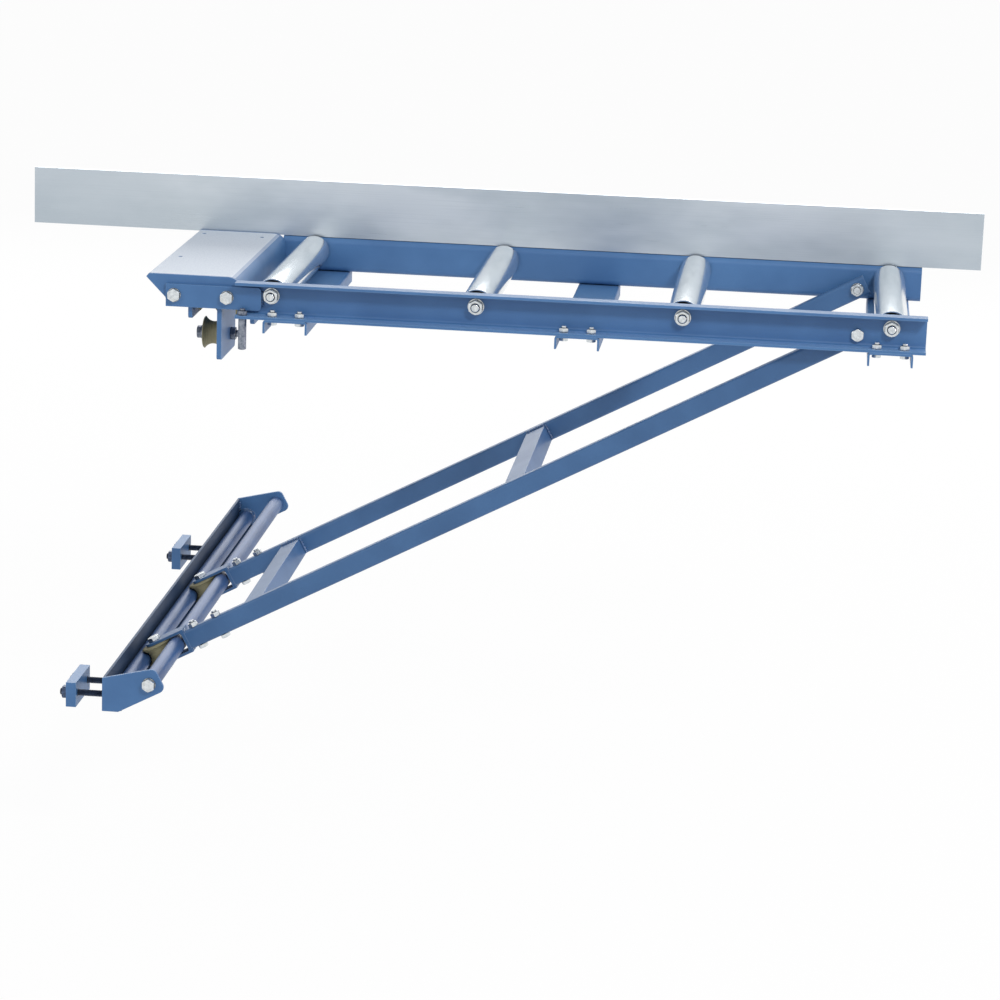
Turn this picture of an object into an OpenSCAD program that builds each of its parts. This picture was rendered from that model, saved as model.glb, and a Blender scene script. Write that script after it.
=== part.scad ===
/* [Lower guide rail] */
// Length of the lower guide rail over its end plates
rail_length = 1115; // [900:5:1400]
// Distance from the front clamp's centre to the rail's front end
rail_front_overhang = 90; // [70:1:140]
// Height of the rail's back angle
angle_height = 50; // [44:1:70]
// Width of the back angle's bottom leg
angle_width = 28; // [26:1:40]
// Thickness of the back angle
angle_wall = 4; // [3:0.5:6]
// Height of the back angle's underside over the clamp rods, downwards
angle_drop = 8; // [6:1:14]
// Outer diameter of the two guide tubes
tube_diameter = 25; // [20:1:28]
// Wall of the two guide tubes
tube_wall = 2.5; // [1.5:0.5:4]
// Thickness of the rail's end plates
end_plate_thickness = 5; // [4:0.5:8]
// Edge distance of the end plates round the outer tube
end_plate_margin = 18; // [15:1:24]
// Rise of the end plates' top edge, in degrees
end_plate_rise = 13; // [8:1:16]
// Rounding of the end plates' nose
end_plate_nose_radius = 9; // [4:1:12]

/* [Leg clamps] */
// Width of the leg that a clamp takes
leg_width = 48; // [40:1:60]
// Distance between the front and the rear clamp
clamp_pitch = 792; // [600:1:900]
// Diameter of the clamp rods
clamp_rod_diameter = 10; // [8:1:12]
// Distance between the two rods of a clamp
clamp_rod_spacing = 64; // [60:1:76]
// Height of a clamp bar
clamp_bar_height = 37; // [30:1:45]
// Thickness of a clamp bar
clamp_bar_depth = 15; // [12:1:20]

/* [Table rails] */
// Length of the table's side rails
table_length = 1000; // [950:5:1300]
// Clear width between the side rails
table_width = 400; // [360:1:500]
// Distance from the lower rail's back face to the side rails' left end
table_offset_x = 155; // [140:1:170]
// Distance from the front clamp's centre to the front rail's inner face
table_offset_y = 110; // [90:1:140]
// Height of the side rails' top over the clamp rods
table_height = 600; // [560:1:640]
// Height of a side rail
channel_height = 53; // [48:1:60]
// Depth of a side rail's flanges
channel_depth = 30; // [28:1:36]
// Sheet of the side rails
channel_wall = 4; // [3:0.5:5]
// Inner bend radius of the side rails
channel_bend = 5; // [2:0.5:6]

/* [Conveyor rollers] */
// Number of conveyor rollers
roller_count = 4; // [2:1:4]
// Distance between two conveyor rollers
roller_pitch = 300; // [250:1:320]
// Distance from the side rails' left end to the first roller
roller_first_x = 50; // [45:1:70]
// Outer diameter of a conveyor roller
roller_diameter = 48.3; // [40:0.1:50]
// Wall of a conveyor roller's tube
roller_wall = 2; // [1.5:0.1:3]
// Height of the rollers' top over the side rails
roller_rise = 3; // [1:0.5:6]
// Gap between a roller's end and the side rail
roller_side_gap = 3; // [2:0.5:6]
// Distance that the end bearings sit inside the tube
bearing_inset = 9; // [4:1:16]
// Width of an end bearing
bearing_width = 12; // [10:1:18]
// Diameter of the roller axles
axle_diameter = 12; // [10:1:14]

/* [Head] */
// Reach of the head's cover to the left of the side rails
head_reach = 132; // [120:1:150]
// Sheet of the head's cover and skirts
head_sheet = 4; // [3:0.5:5]
// Outer radius of the cover's bend
head_bend = 20; // [14:1:24]
// Distance that the cover's bent face reaches in between the side rails
head_lap = 5; // [3:0.5:8]
// Depth of the skirts below the side rails' top
skirt_depth = 43; // [38:1:50]
// Length of the splice bars that join the head to the side rails
splice_length = 141; // [130:1:160]
// Distance that a splice bar laps over the side rail
splice_lap = 35.5; // [25:0.5:50]
// Height of a splice bar
splice_height = 33.5; // [28:0.5:36]
// Thickness of a splice bar
splice_thickness = 6; // [4:0.5:8]

/* [Upper guide] */
// Diameter of the round bar that the upper guide rollers run on
guide_bar_diameter = 30; // [22:1:31]
// Depth of the guide bar's axis below the side rails' top
guide_bar_drop = 64.5; // [63:0.5:80]
// Distance from the side rails' left end to the guide bar's axis
guide_bar_offset = 49.5; // [48:0.5:56]
// Length of a hanger plate along the guide bar
hanger_length = 116; // [110:1:140]
// Depth of the right hanger plates below the side rails' top
hanger_depth = 122; // [118:1:140]
// Depth of the left hanger plates below the side rails' top
hanger_short_depth = 62; // [55:1:75]
// Thickness of the right hanger plates
hanger_thickness = 7; // [5:0.5:7]
// Thickness of the left hanger plates
hanger_short_thickness = 6; // [4:0.5:8]
// Thickness of the washers beside an upper guide roller
hanger_washer = 3.5; // [2:0.5:4]
// Distance from a hanger's outer edge to its upper roller
hanger_top_roller_y = 40; // [30:1:50]
// Distance from a hanger's outer edge to its lower roller
hanger_low_roller_y = 80; // [70:1:88]

/* [Guide rollers] */
// Rim diameter of a guide roller
guide_roller_diameter = 48; // [44:1:56]
// Width of a guide roller
guide_roller_width = 29; // [26:0.5:30]
// Diameter of a guide roller at its waist
guide_roller_waist = 34; // [30:1:38]
// Diameter of the guide rollers' axles
guide_axle_diameter = 10; // [8:1:12]

/* [Brace] */
// Distance from the side rails' left end to the brace's upper bolts
brace_bolt_x = 901.6; // [860:0.1:910]
// Depth of the brace's upper bolts below the side rails' top
brace_bolt_drop = 33; // [28:0.5:38]
// Height of a brace bar
brace_height = 30; // [26:0.5:36]
// Depth of a brace bar
brace_depth = 13; // [13:0.5:18]
// Wall of a brace bar
brace_wall = 3; // [2:0.5:4]
// Length of a brace bar beyond its upper bolt
brace_end = 16; // [13:1:20]
// Gap between the front brace bar and the front side rail
brace_front_gap = 2; // [1:0.5:4]
// Gap between the rear brace bar and the rear side rail
brace_rear_gap = 15; // [12:1:20]
// Distance along the brace from the inner tube to the lower strut's ridge
strut_low_at = 208; // [180:1:240]
// Distance along the brace from the inner tube to the upper strut's ridge
strut_high_at = 647; // [560:1:720]
// Width of a strut's upper leg
strut_leg = 32; // [26:1:36]
// Wall of a strut
strut_wall = 3; // [2.5:0.5:4]

/* [Forks] */
// Distance along the brace from the inner tube to the lower end of a brace bar
fork_root_at = 79.5; // [78:0.5:90]
// Width of a fork across its axle
fork_width = 30; // [26:1:34]
// Thickness of the fork plates
fork_plate = 4; // [3:0.5:5]
// Thickness of a fork's cross web
fork_web = 5; // [4:0.5:7]
// Length of the shank that sits in the brace bar
fork_shank = 76; // [70:1:90]

/* [Cross members] */
// Width of a cross member
member_width = 65; // [60:1:75]
// Height of a cross member
member_height = 19.5; // [16:0.5:24]
// Wall of a cross member
member_wall = 3; // [2:0.5:4]
// Distance from the side rails' left end to the left cross member
member_left_x = 74; // [70:1:90]
// Distance from the side rails' left end to the middle cross member
member_middle_x = 500; // [450:1:550]
// Distance from the side rails' left end to the right cross member
member_right_x = 950; // [940:1:960]
// Spacing of a cross member's bolts
member_bolt_spacing = 40; // [36:1:46]

/* [Fence] */
// Length of the fence
fence_length = 1490; // [1200:5:1600]
// Distance that the fence reaches to the left of the side rails
fence_reach = 400; // [300:5:450]
// Height of the fence
fence_height = 88; // [70:1:110]
// Thickness of the fence
fence_thickness = 8; // [6:0.5:9]
// Height of the fence's lower edge over the side rails
fence_lift = 0.5; // [0.3:0.1:3]
// Distance from the rear rail's inner face back to the fence's front face
fence_setback = 6.5; // [6:0.5:7]
// Number of fence brackets
bracket_count = 3; // [2:1:5]
// Length of a fence bracket
bracket_length = 40; // [36:1:60]
// Height of a fence bracket
bracket_height = 36; // [30:1:40]
// Wall of a fence bracket
bracket_wall = 2.5; // [2:0.5:3]

/* [Stop pin] */
// Diameter of the stop pin under the front side rail
stop_pin_diameter = 12; // [10:1:14]
// Length of the stop pin below the side rail
stop_pin_length = 47; // [35:1:60]
// Distance from the side rails' left end to the stop pin
stop_pin_x = 10; // [8:0.5:20]

/* [Hidden] */

// Facets of a full circle
$fn = 64;
// Straight pieces in each bend
bend_steps = 6;
// Overrun of the cuts
over = 1;
// Radial clearance of a roller on its axle
run_gap = 0.05;
// Gap between a guide roller's groove and its tube
groove_gap = 0.3;
// Side gap between a guide roller and what holds it
cheek_gap = 0.5;
// Radial clearance of a bolt in its hole
bolt_gap = 0.5;
// Radial clearance of a nut's bore over its thread
nut_gap = 0.1;

// Fasteners: thread, width across flats, head, nut, washer
tiny_bolt = 5;
tiny_flats = 8;
tiny_head = 3.5;
tiny_nut = 4;
small_bolt = 8;
small_flats = 13;
small_head = 5.3;
small_nut = 6.5;
medium_bolt = 10;
medium_flats = 17;
medium_head = 6.4;
medium_nut = 8;
medium_washer = 20;
medium_washer_thickness = 2;
large_nut_flats = 19;
large_nut = 10;
large_washer = 24;
large_washer_thickness = 2.5;
// Thread that stands out of a nut
thread_end = 3;
// Chamfer on the corners of heads and nuts
hex_chamfer = 1;

blue = [0.27, 0.42, 0.62];
zinc = [0.78, 0.79, 0.80];
bright = [0.85, 0.86, 0.87];
bare_alloy = [0.76, 0.78, 0.79];
olive = [0.45, 0.43, 0.33];

// Places worked out from the sizes
rail_y0 = -rail_front_overhang;
rail_y1 = rail_y0 + rail_length;
angle_z0 = -angle_drop;
angle_z1 = angle_z0 + angle_height;
tube_r = tube_diameter / 2;
tube_x = angle_wall + tube_r;
tube_z = angle_z0 + angle_wall + tube_r;
clamp_bar_end_share = 1.5;
clamp_rod_reach = leg_width + clamp_bar_depth + medium_nut + thread_end;
table_x0 = table_offset_x;
table_x1 = table_x0 + table_length;
web_front_y = table_offset_y;
web_rear_y = web_front_y + table_width;
table_z = table_height;
pivot_x = table_x0 + brace_bolt_x;
pivot_z = table_z - brace_bolt_drop;
slope = atan2(pivot_z - tube_z, pivot_x - tube_x);
brace_reach = norm([pivot_x - tube_x, pivot_z - tube_z]);
// Distance from a guide roller's axle to the axis of what it runs on
guide_centre = guide_roller_waist / 2 + tube_r;
outer_tube_at = 2 * guide_centre + cheek_gap;
outer_tube_x = tube_x + outer_tube_at * cos(slope);
outer_tube_z = tube_z + outer_tube_at * sin(slope);
fork_gap = guide_roller_width + 2 * cheek_gap;
brace_front_face = web_front_y + brace_front_gap;
brace_rear_face = web_rear_y - brace_rear_gap - brace_depth;
fork_front_y = brace_front_face + fork_width / 2;
fork_rear_y = brace_rear_face + fork_width / 2;
fork_tip_radius = fork_width / 2;
shank_depth = brace_depth - brace_wall;
// Clears the shank's corners from the inner bends of the brace bar
shank_clear = (1 - sqrt(1 / 2)) * brace_wall / 2 + nut_gap;
bar_bolt_y = brace_wall + shank_depth / 2;
fork_bolt_inset = 16.5;
fork_bolt_pitch = 38;
roller_z = table_z + roller_rise - roller_diameter / 2;
axle_reach = large_washer_thickness + large_nut + thread_end;
head_top = table_z + roller_rise;
head_x0 = table_x0 - head_reach;
head_x1 = table_x0 + head_lap;
head_bottom = table_z - skirt_depth;
skirt_cut_width = 28.5;
skirt_cut_bottom = 31;
skirt_nose = 4;
skirt_nose_drop = 5;
splice_x1 = table_x0 + splice_lap;
splice_x0 = splice_x1 - splice_length;
splice_overhang = 0.5;
splice_z0 = head_bottom - splice_overhang;
splice_z1 = splice_z0 + splice_height;
splice_bolt_inset = 12.5;
splice_bolt_pitch = 78;
splice_bolt_drop = 26;
splice_bolt_z = table_z - splice_bolt_drop;
splice_corner = 5;
guide_x = table_x0 - guide_bar_offset;
guide_z = table_z - guide_bar_drop;
guide_bar_centre = guide_roller_waist / 2 + guide_bar_diameter / 2;
hanger_half_gap = guide_roller_width / 2 + cheek_gap + hanger_washer;
hanger_right_x0 = guide_x + hanger_half_gap;
hanger_left_x1 = guide_x - hanger_half_gap;
hanger_corner = 6;
hanger_y_front = web_front_y;
hanger_y_rear = web_rear_y - hanger_length;
member_z1 = table_z - channel_height;
member_y0 = web_front_y - channel_depth;
member_y1 = web_rear_y + channel_depth;
member_bolt_inset = 12;
fence_y0 = web_rear_y + fence_setback;
fence_y1 = fence_y0 + fence_thickness;
fence_x0 = table_x0 - fence_reach;
bracket_depth = web_rear_y + channel_depth - fence_y1;
bracket_root = bracket_wall / 2;
bracket_bolt_y = (fence_y1 + bracket_wall + bracket_root + web_rear_y + channel_depth) / 2;
bracket_margin = 120;
fence_thread_depth = 6;
fence_bolt_rise = 22;

// Points of an arc
function arc(centre, r, a0, a1) =
    [for (i = [0 : bend_steps]) let (a = a0 + (a1 - a0) * i / bend_steps)
        [centre[0] + r * cos(a), centre[1] + r * sin(a)]];

// Section of a bent channel: its web lies on the second axis, its flanges reach along the first
function channel_section(depth, height, wall, bend) =
    let (r = bend + wall)
    concat(
        [[depth, wall], [depth, 0]],
        arc([r, r], r, 270, 180),
        arc([r, height - r], r, 180, 90),
        [[depth, height], [depth, height - wall]],
        arc([r, height - r], bend, 90, 180),
        arc([r, r], bend, 180, 270));

// Section of an angle: its corner lies at the origin, its legs along both axes
function angle_section(width, height, wall, root) =
    concat(
        [[0, 0], [width, 0], [width, wall]],
        arc([wall + root, wall + root], root, 270, 180),
        [[wall, height], [0, height]]);

// Solids drawn out along one axis
module along_x(x0, x1) {
    translate([x0, 0, 0]) rotate([90, 0, 90]) linear_extrude(x1 - x0) children();
}
module along_y(y0, y1) {
    translate([0, y1, 0]) rotate([90, 0, 0]) linear_extrude(y1 - y0) children();
}

// Frame of the brace: its first axis runs up the brace, from the inner tube's axis
module brace_frame() {
    translate([tube_x, 0, tube_z]) rotate([0, -slope, 0]) children();
}

// Hexagonal body with chamfered corners, standing on the origin
module hex_body(flats, height) {
    corner = flats / sqrt(3);
    intersection() {
        rotate(30) cylinder(r = corner, h = height, $fn = 6);
        rotate_extrude()
            polygon([
                [0, 0], [corner, 0], [corner, height - hex_chamfer],
                [flats / 2, height], [0, height]]);
    }
}

// Bolt along the third axis: its head stands on the origin, its shank reaches down
module bolt(thread, flats, head, length) {
    hex_body(flats, head);
    translate([0, 0, -length]) cylinder(r = thread / 2, h = length + head / 2);
}

module washer(thread, outer, thickness) {
    difference() {
        cylinder(r = outer / 2, h = thickness);
        translate([0, 0, -over]) cylinder(r = thread / 2 + nut_gap, h = thickness + 2 * over);
    }
}

module nut(thread, flats, height) {
    difference() {
        hex_body(flats, height);
        translate([0, 0, -over]) cylinder(r = thread / 2 + nut_gap, h = height + 2 * over);
    }
}

// Round hole along the second axis
module hole_y(x, z, r, y0, y1) {
    translate([x, y0 - over, z]) rotate([-90, 0, 0]) cylinder(r = r, h = y1 - y0 + 2 * over);
}

// Round hole along the third axis
module hole_z(x, y, r, z0, z1) {
    translate([x, y, z0 - over]) cylinder(r = r, h = z1 - z0 + 2 * over);
}

// Lower guide rail
module rail_back_angle() {
    color(blue)
        translate([0, 0, angle_z0])
            along_y(rail_y0 + end_plate_thickness, rail_y1 - end_plate_thickness)
                polygon(angle_section(angle_width, angle_height, angle_wall, angle_wall));
}

// Outline of an end plate, with a nose round the outer tube's bolt
module end_plate_outline() {
    u = [cos(slope), sin(slope)];
    v = [-sin(slope), cos(slope)];
    o = [outer_tube_x, outer_tube_z];
    m = end_plate_margin;
    r = end_plate_nose_radius;
    low = o - m * v;
    foot_x = low[0] - (low[1] - angle_z0) / tan(slope);
    nose_low = o + (m - r) * u - (m - r) * v;
    top_at_nose = angle_z1 + (o[0] + m * u[0]) * tan(end_plate_rise);
    nose_rise = (top_at_nose - o[1]) / cos(slope) - m / 2;
    nose_high = o + (m - r) * u + (nose_rise - r) * v;
    polygon(concat(
        [[0, angle_z0], [foot_x, angle_z0]],
        arc(nose_low, r, slope - 90, slope),
        arc(nose_high, r, slope, 90 + end_plate_rise),
        [[0, angle_z1]]));
}

module rail_end_plate(y0) {
    color(blue)
        difference() {
            along_y(y0, y0 + end_plate_thickness) end_plate_outline();
            hole_y(outer_tube_x, outer_tube_z, medium_bolt / 2 + bolt_gap, y0, y0 + end_plate_thickness);
        }
}

module guide_tube(x, z) {
    y0 = rail_y0 + end_plate_thickness;
    y1 = rail_y1 - end_plate_thickness;
    color(blue)
        difference() {
            translate([x, y0, z]) rotate([-90, 0, 0]) cylinder(r = tube_r, h = y1 - y0);
            hole_y(x, z, tube_r - tube_wall, y0, y1);
        }
}

// Threaded plugs inside the outer tube's ends, with the bolts that hold it
module outer_tube_bolts() {
    plug = 3 * medium_nut;
    color(zinc)
        for (side = [0, 1])
            translate([outer_tube_x, side == 0 ? rail_y0 : rail_y1, outer_tube_z])
                rotate([side == 0 ? 90 : -90, 0, 0]) {
                    washer(medium_bolt, medium_washer, medium_washer_thickness);
                    translate([0, 0, medium_washer_thickness])
                        bolt(medium_bolt, medium_flats, medium_head,
                            medium_washer_thickness + end_plate_thickness + plug);
                    translate([0, 0, -end_plate_thickness - plug])
                        difference() {
                            cylinder(r = tube_r - tube_wall - nut_gap, h = plug);
                            translate([0, 0, -over])
                                cylinder(r = medium_bolt / 2 + nut_gap, h = plug + 2 * over);
                        }
                }
}

// Clamp bar: a thick flat bar behind the leg, pulled up by two rods
module leg_clamp_bar(y) {
    half = clamp_rod_spacing / 2 + clamp_rod_diameter * clamp_bar_end_share;
    color(blue)
        difference() {
            translate([-leg_width - clamp_bar_depth, y - half, -clamp_bar_height / 2])
                cube([clamp_bar_depth, 2 * half, clamp_bar_height]);
            for (side = [-1, 1])
                translate([-leg_width + over, y + side * clamp_rod_spacing / 2, 0])
                    rotate([0, -90, 0])
                        cylinder(r = clamp_rod_diameter / 2 + bolt_gap, h = clamp_bar_depth + 2 * over);
        }
}

module clamp_rods() {
    color(zinc)
        for (y = [0, clamp_pitch], side = [-1, 1])
            translate([-clamp_rod_reach, y + side * clamp_rod_spacing / 2, 0])
                rotate([0, 90, 0]) cylinder(r = clamp_rod_diameter / 2, h = clamp_rod_reach);
}

module clamp_nuts() {
    color(zinc)
        for (y = [0, clamp_pitch], side = [-1, 1])
            translate([-leg_width - clamp_bar_depth, y + side * clamp_rod_spacing / 2, 0])
                rotate([0, -90, 0])
                    nut(clamp_rod_diameter, medium_flats, medium_nut);
}

// Head: a cover bent down at its right side, closed by a skirt at each end
module head_cover() {
    cx = head_x1 - head_bend;
    cz = head_top - head_bend;
    inner = head_bend - head_sheet;
    color(blue)
        along_y(web_front_y, web_rear_y)
            polygon(concat(
                [[head_x0, head_top - head_sheet], [head_x0, head_top]],
                arc([cx, cz], head_bend, 90, 0),
                [[head_x1, head_bottom], [head_x1 - head_sheet, head_bottom]],
                arc([cx, cz], inner, 0, 90)));
}

module head_skirt(y0) {
    cx = head_x1 - head_bend;
    cz = head_top - head_bend;
    meet = acos((table_x0 - cx) / head_bend);
    cut_x = head_x0 + skirt_cut_width - skirt_nose;
    color(blue)
        difference() {
            along_y(y0, y0 + head_sheet)
                polygon(concat(
                    [[head_x0 - skirt_nose, head_top - skirt_nose_drop], [head_x0, head_top]],
                    arc([cx, cz], head_bend, 90, meet),
                    [[table_x0, head_bottom],
                        [cut_x + skirt_nose, head_bottom],
                        [cut_x, table_z - skirt_cut_bottom]]));
            for (i = [0, 1])
                hole_y(splice_x0 + splice_bolt_inset + i * splice_bolt_pitch, splice_bolt_z,
                    medium_bolt / 2 + bolt_gap, y0, y0 + head_sheet);
        }
}

module splice_bar(y0) {
    r = splice_corner;
    color(blue)
        difference() {
            along_y(y0, y0 + splice_thickness)
                polygon(concat(
                    [[splice_x0, splice_z0], [splice_x1 - r, splice_z0]],
                    arc([splice_x1 - r, splice_z0 + r], r, 270, 360),
                    arc([splice_x1 - r, splice_z1 - r], r, 0, 90),
                    [[splice_x0, splice_z1]]));
            for (i = [0, 1])
                hole_y(splice_x0 + splice_bolt_inset + i * splice_bolt_pitch, splice_bolt_z,
                    medium_bolt / 2 + bolt_gap, y0, y0 + splice_thickness);
        }
}

module head_bolts() {
    grip = splice_thickness + head_sheet;
    length = medium_washer_thickness + grip + medium_nut + thread_end;
    color(zinc)
        for (i = [0, 1], side = [-1, 1])
            translate([
                splice_x0 + splice_bolt_inset + i * splice_bolt_pitch,
                side < 0 ? web_front_y - grip : web_rear_y + grip,
                splice_bolt_z])
                rotate([-side * 90, 0, 0]) {
                    washer(medium_bolt, medium_washer, medium_washer_thickness);
                    translate([0, 0, medium_washer_thickness])
                        bolt(medium_bolt, medium_flats, medium_head, length);
                    translate([0, 0, -grip]) mirror([0, 0, 1]) nut(medium_bolt, medium_flats, medium_nut);
                }
}

// Side rails: bent channels with their flanges turned outwards
function roller_x(i) = table_x0 + roller_first_x + i * roller_pitch;
function member_x(i) = table_x0 + [member_left_x, member_middle_x, member_right_x][i];
function bracket_x(i) = table_x0 + bracket_margin
    + i * (table_length - 2 * bracket_margin) / (bracket_count - 1);

module side_rail(web_y, side) {
    y_low = side < 0 ? web_y - channel_wall : web_y;
    flange_y = web_y + side * (channel_depth - member_bolt_inset);
    color(blue)
        difference() {
            along_x(table_x0, table_x1)
                translate([web_y, table_z - channel_height])
                    mirror([side < 0 ? 1 : 0, 0])
                        polygon(channel_section(channel_depth, channel_height, channel_wall, channel_bend));
            for (i = [0 : roller_count - 1])
                hole_y(roller_x(i), roller_z, axle_diameter / 2 + nut_gap, y_low, y_low + channel_wall);
            hole_y(pivot_x, pivot_z, medium_bolt / 2 + bolt_gap, y_low, y_low + channel_wall);
            for (i = [0 : 2], k = [-1, 1])
                hole_z(member_x(i) + k * member_bolt_spacing / 2, flange_y,
                    small_bolt / 2 + bolt_gap, member_z1, member_z1 + channel_wall);
            if (side < 0)
                hole_z(table_x0 + stop_pin_x, flange_y,
                    small_bolt / 2 + nut_gap, member_z1, member_z1 + channel_wall);
            if (side > 0)
                for (i = [0 : bracket_count - 1])
                    hole_z(bracket_x(i), bracket_bolt_y,
                        tiny_bolt / 2 + bolt_gap, table_z - channel_wall, table_z);
        }
}

module cross_member(i) {
    x = member_x(i);
    color(blue)
        difference() {
            along_y(member_y0, member_y1)
                translate([x - member_width / 2, member_z1])
                    rotate(-90)
                        polygon(channel_section(member_height, member_width, member_wall, member_wall / 2));
            for (k = [-1, 1], side = [-1, 1])
                hole_z(x + k * member_bolt_spacing / 2, member_bolt_y(side),
                    small_bolt / 2 + bolt_gap, member_z1 - member_wall, member_z1);
        }
}

function member_bolt_y(side) =
    side < 0 ? member_y0 + member_bolt_inset : member_y1 - member_bolt_inset;

module cross_member_bolts() {
    grip = member_wall + channel_wall;
    color(zinc)
        for (i = [0 : 2], k = [-1, 1], side = [-1, 1])
            translate([
                member_x(i) + k * member_bolt_spacing / 2, member_bolt_y(side), member_z1 - member_wall])
                mirror([0, 0, 1]) {
                    bolt(small_bolt, small_flats, small_head, grip + small_nut + thread_end);
                    translate([0, 0, -grip]) mirror([0, 0, 1]) nut(small_bolt, small_flats, small_nut);
                }
}

// Hanger plates under the cover, which carry the upper guide rollers
module hanger(x0, thickness, y0, z0, holes) {
    r = hanger_corner;
    y1 = y0 + hanger_length;
    z1 = head_top - head_sheet;
    color(blue)
        difference() {
            along_x(x0, x0 + thickness)
                polygon(concat(
                    [[y1, z1], [y0, z1]],
                    arc([y0 + r, z0 + r], r, 180, 270),
                    arc([y1 - r, z0 + r], r, 270, 360)));
            for (h = holes)
                translate([x0 - over, h[0], h[1]]) rotate([0, 90, 0])
                    cylinder(r = guide_axle_diameter / 2 + nut_gap, h = thickness + 2 * over);
        }
}

top_roller_z = guide_z + guide_bar_centre;
low_roller_z = guide_z - guide_bar_centre;
function top_roller_y(side) =
    side < 0 ? hanger_y_front + hanger_top_roller_y
        : hanger_y_rear + hanger_length - hanger_top_roller_y;
function low_roller_y(side) =
    side < 0 ? hanger_y_front + hanger_low_roller_y
        : hanger_y_rear + hanger_length - hanger_low_roller_y;

module hanger_left(side) {
    hanger(hanger_left_x1 - hanger_short_thickness, hanger_short_thickness,
        side < 0 ? hanger_y_front : hanger_y_rear, table_z - hanger_short_depth,
        [[top_roller_y(side), top_roller_z]]);
}

module hanger_right(side) {
    hanger(hanger_right_x0, hanger_thickness,
        side < 0 ? hanger_y_front : hanger_y_rear, table_z - hanger_depth,
        [[top_roller_y(side), top_roller_z], [low_roller_y(side), low_roller_z]]);
}

// Axle of an upper guide roller: a bolt from the left, washers, and a nut on the right hanger
module guide_axle(y, z, left) {
    right = hanger_right_x0 + hanger_thickness;
    translate([0, y, z]) {
        translate([left, 0, 0]) rotate([0, -90, 0])
            bolt(guide_axle_diameter, medium_flats, medium_head, right - left + medium_nut + thread_end);
        translate([right, 0, 0]) rotate([0, 90, 0])
            nut(guide_axle_diameter, medium_flats, medium_nut);
        for (x = [hanger_left_x1, hanger_right_x0 - hanger_washer])
            translate([x, 0, 0]) rotate([0, 90, 0])
                washer(guide_axle_diameter, medium_washer, hanger_washer);
    }
}

module upper_guide_axles() {
    color(zinc)
        for (side = [-1, 1]) {
            guide_axle(top_roller_y(side), top_roller_z, hanger_left_x1 - hanger_short_thickness);
            guide_axle(low_roller_y(side), low_roller_z, hanger_left_x1);
        }
}

// Roller with a groove for a round bar, its axis along the third axis
module guide_roller(bar_diameter, centre) {
    half = guide_roller_width / 2;
    edge = 1.5;
    rim = guide_roller_diameter / 2;
    color(olive)
        difference() {
            rotate_extrude()
                polygon([
                    [0, -half], [rim - edge, -half], [rim, -half + edge],
                    [rim, half - edge], [rim - edge, half], [0, half]]);
            rotate_extrude()
                translate([centre, 0]) circle(r = bar_diameter / 2 + groove_gap);
            translate([0, 0, -half - over])
                cylinder(r = guide_axle_diameter / 2 + run_gap, h = 2 * half + 2 * over);
        }
}

module lower_guide_roller(y) {
    brace_frame() translate([guide_centre, y, 0]) guide_roller(tube_diameter, guide_centre);
}

module upper_guide_roller(y, z) {
    translate([guide_x, y, z]) rotate([0, 90, 0]) guide_roller(guide_bar_diameter, guide_bar_centre);
}

module stop_pin() {
    nut_side = member_z1 + channel_wall;
    x = table_x0 + stop_pin_x;
    y = web_front_y - channel_depth + member_bolt_inset;
    edge = stop_pin_diameter / 12;
    r = stop_pin_diameter / 2;
    color(zinc) {
        translate([x, y, member_z1 - stop_pin_length])
            rotate_extrude()
                polygon([
                    [0, 0], [r - edge, 0], [r, edge], [r, stop_pin_length],
                    [small_bolt / 2, stop_pin_length],
                    [small_bolt / 2, stop_pin_length + channel_wall + small_nut + thread_end],
                    [0, stop_pin_length + channel_wall + small_nut + thread_end]]);
        translate([x, y, nut_side]) nut(small_bolt, small_flats, small_nut);
    }
}

// Fence with its brackets on the rear side rail
module fence_plate() {
    color(bare_alloy)
        difference() {
            translate([fence_x0, fence_y0, table_z + fence_lift])
                cube([fence_length, fence_thickness, fence_height]);
            for (i = [0 : bracket_count - 1])
                hole_y(bracket_x(i), table_z + fence_bolt_rise, tiny_bolt / 2 + nut_gap,
                    fence_y1 - fence_thread_depth + over, fence_y1);
        }
}

module fence_brackets() {
    color(zinc)
        for (i = [0 : bracket_count - 1]) {
            x = bracket_x(i);
            difference() {
                translate([0, fence_y1, table_z])
                    along_x(x - bracket_length / 2, x + bracket_length / 2)
                        polygon(angle_section(bracket_depth, bracket_height, bracket_wall, bracket_root));
                hole_y(x, table_z + fence_bolt_rise, tiny_bolt / 2 + bolt_gap,
                    fence_y1, fence_y1 + bracket_wall);
                hole_z(x, bracket_bolt_y, tiny_bolt / 2 + bolt_gap, table_z, table_z + bracket_wall);
            }
        }
}

module fence_bolts() {
    grip = bracket_wall + channel_wall;
    color(zinc)
        for (i = [0 : bracket_count - 1]) {
            translate([bracket_x(i), fence_y1 + bracket_wall, table_z + fence_bolt_rise])
                rotate([-90, 0, 0])
                    bolt(tiny_bolt, tiny_flats, tiny_head, bracket_wall + fence_thread_depth - over);
            translate([bracket_x(i), bracket_bolt_y, table_z + bracket_wall]) {
                bolt(tiny_bolt, tiny_flats, tiny_head, grip + tiny_nut + thread_end);
                translate([0, 0, -grip]) mirror([0, 0, 1]) nut(tiny_bolt, tiny_flats, tiny_nut);
            }
        }
}

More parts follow.
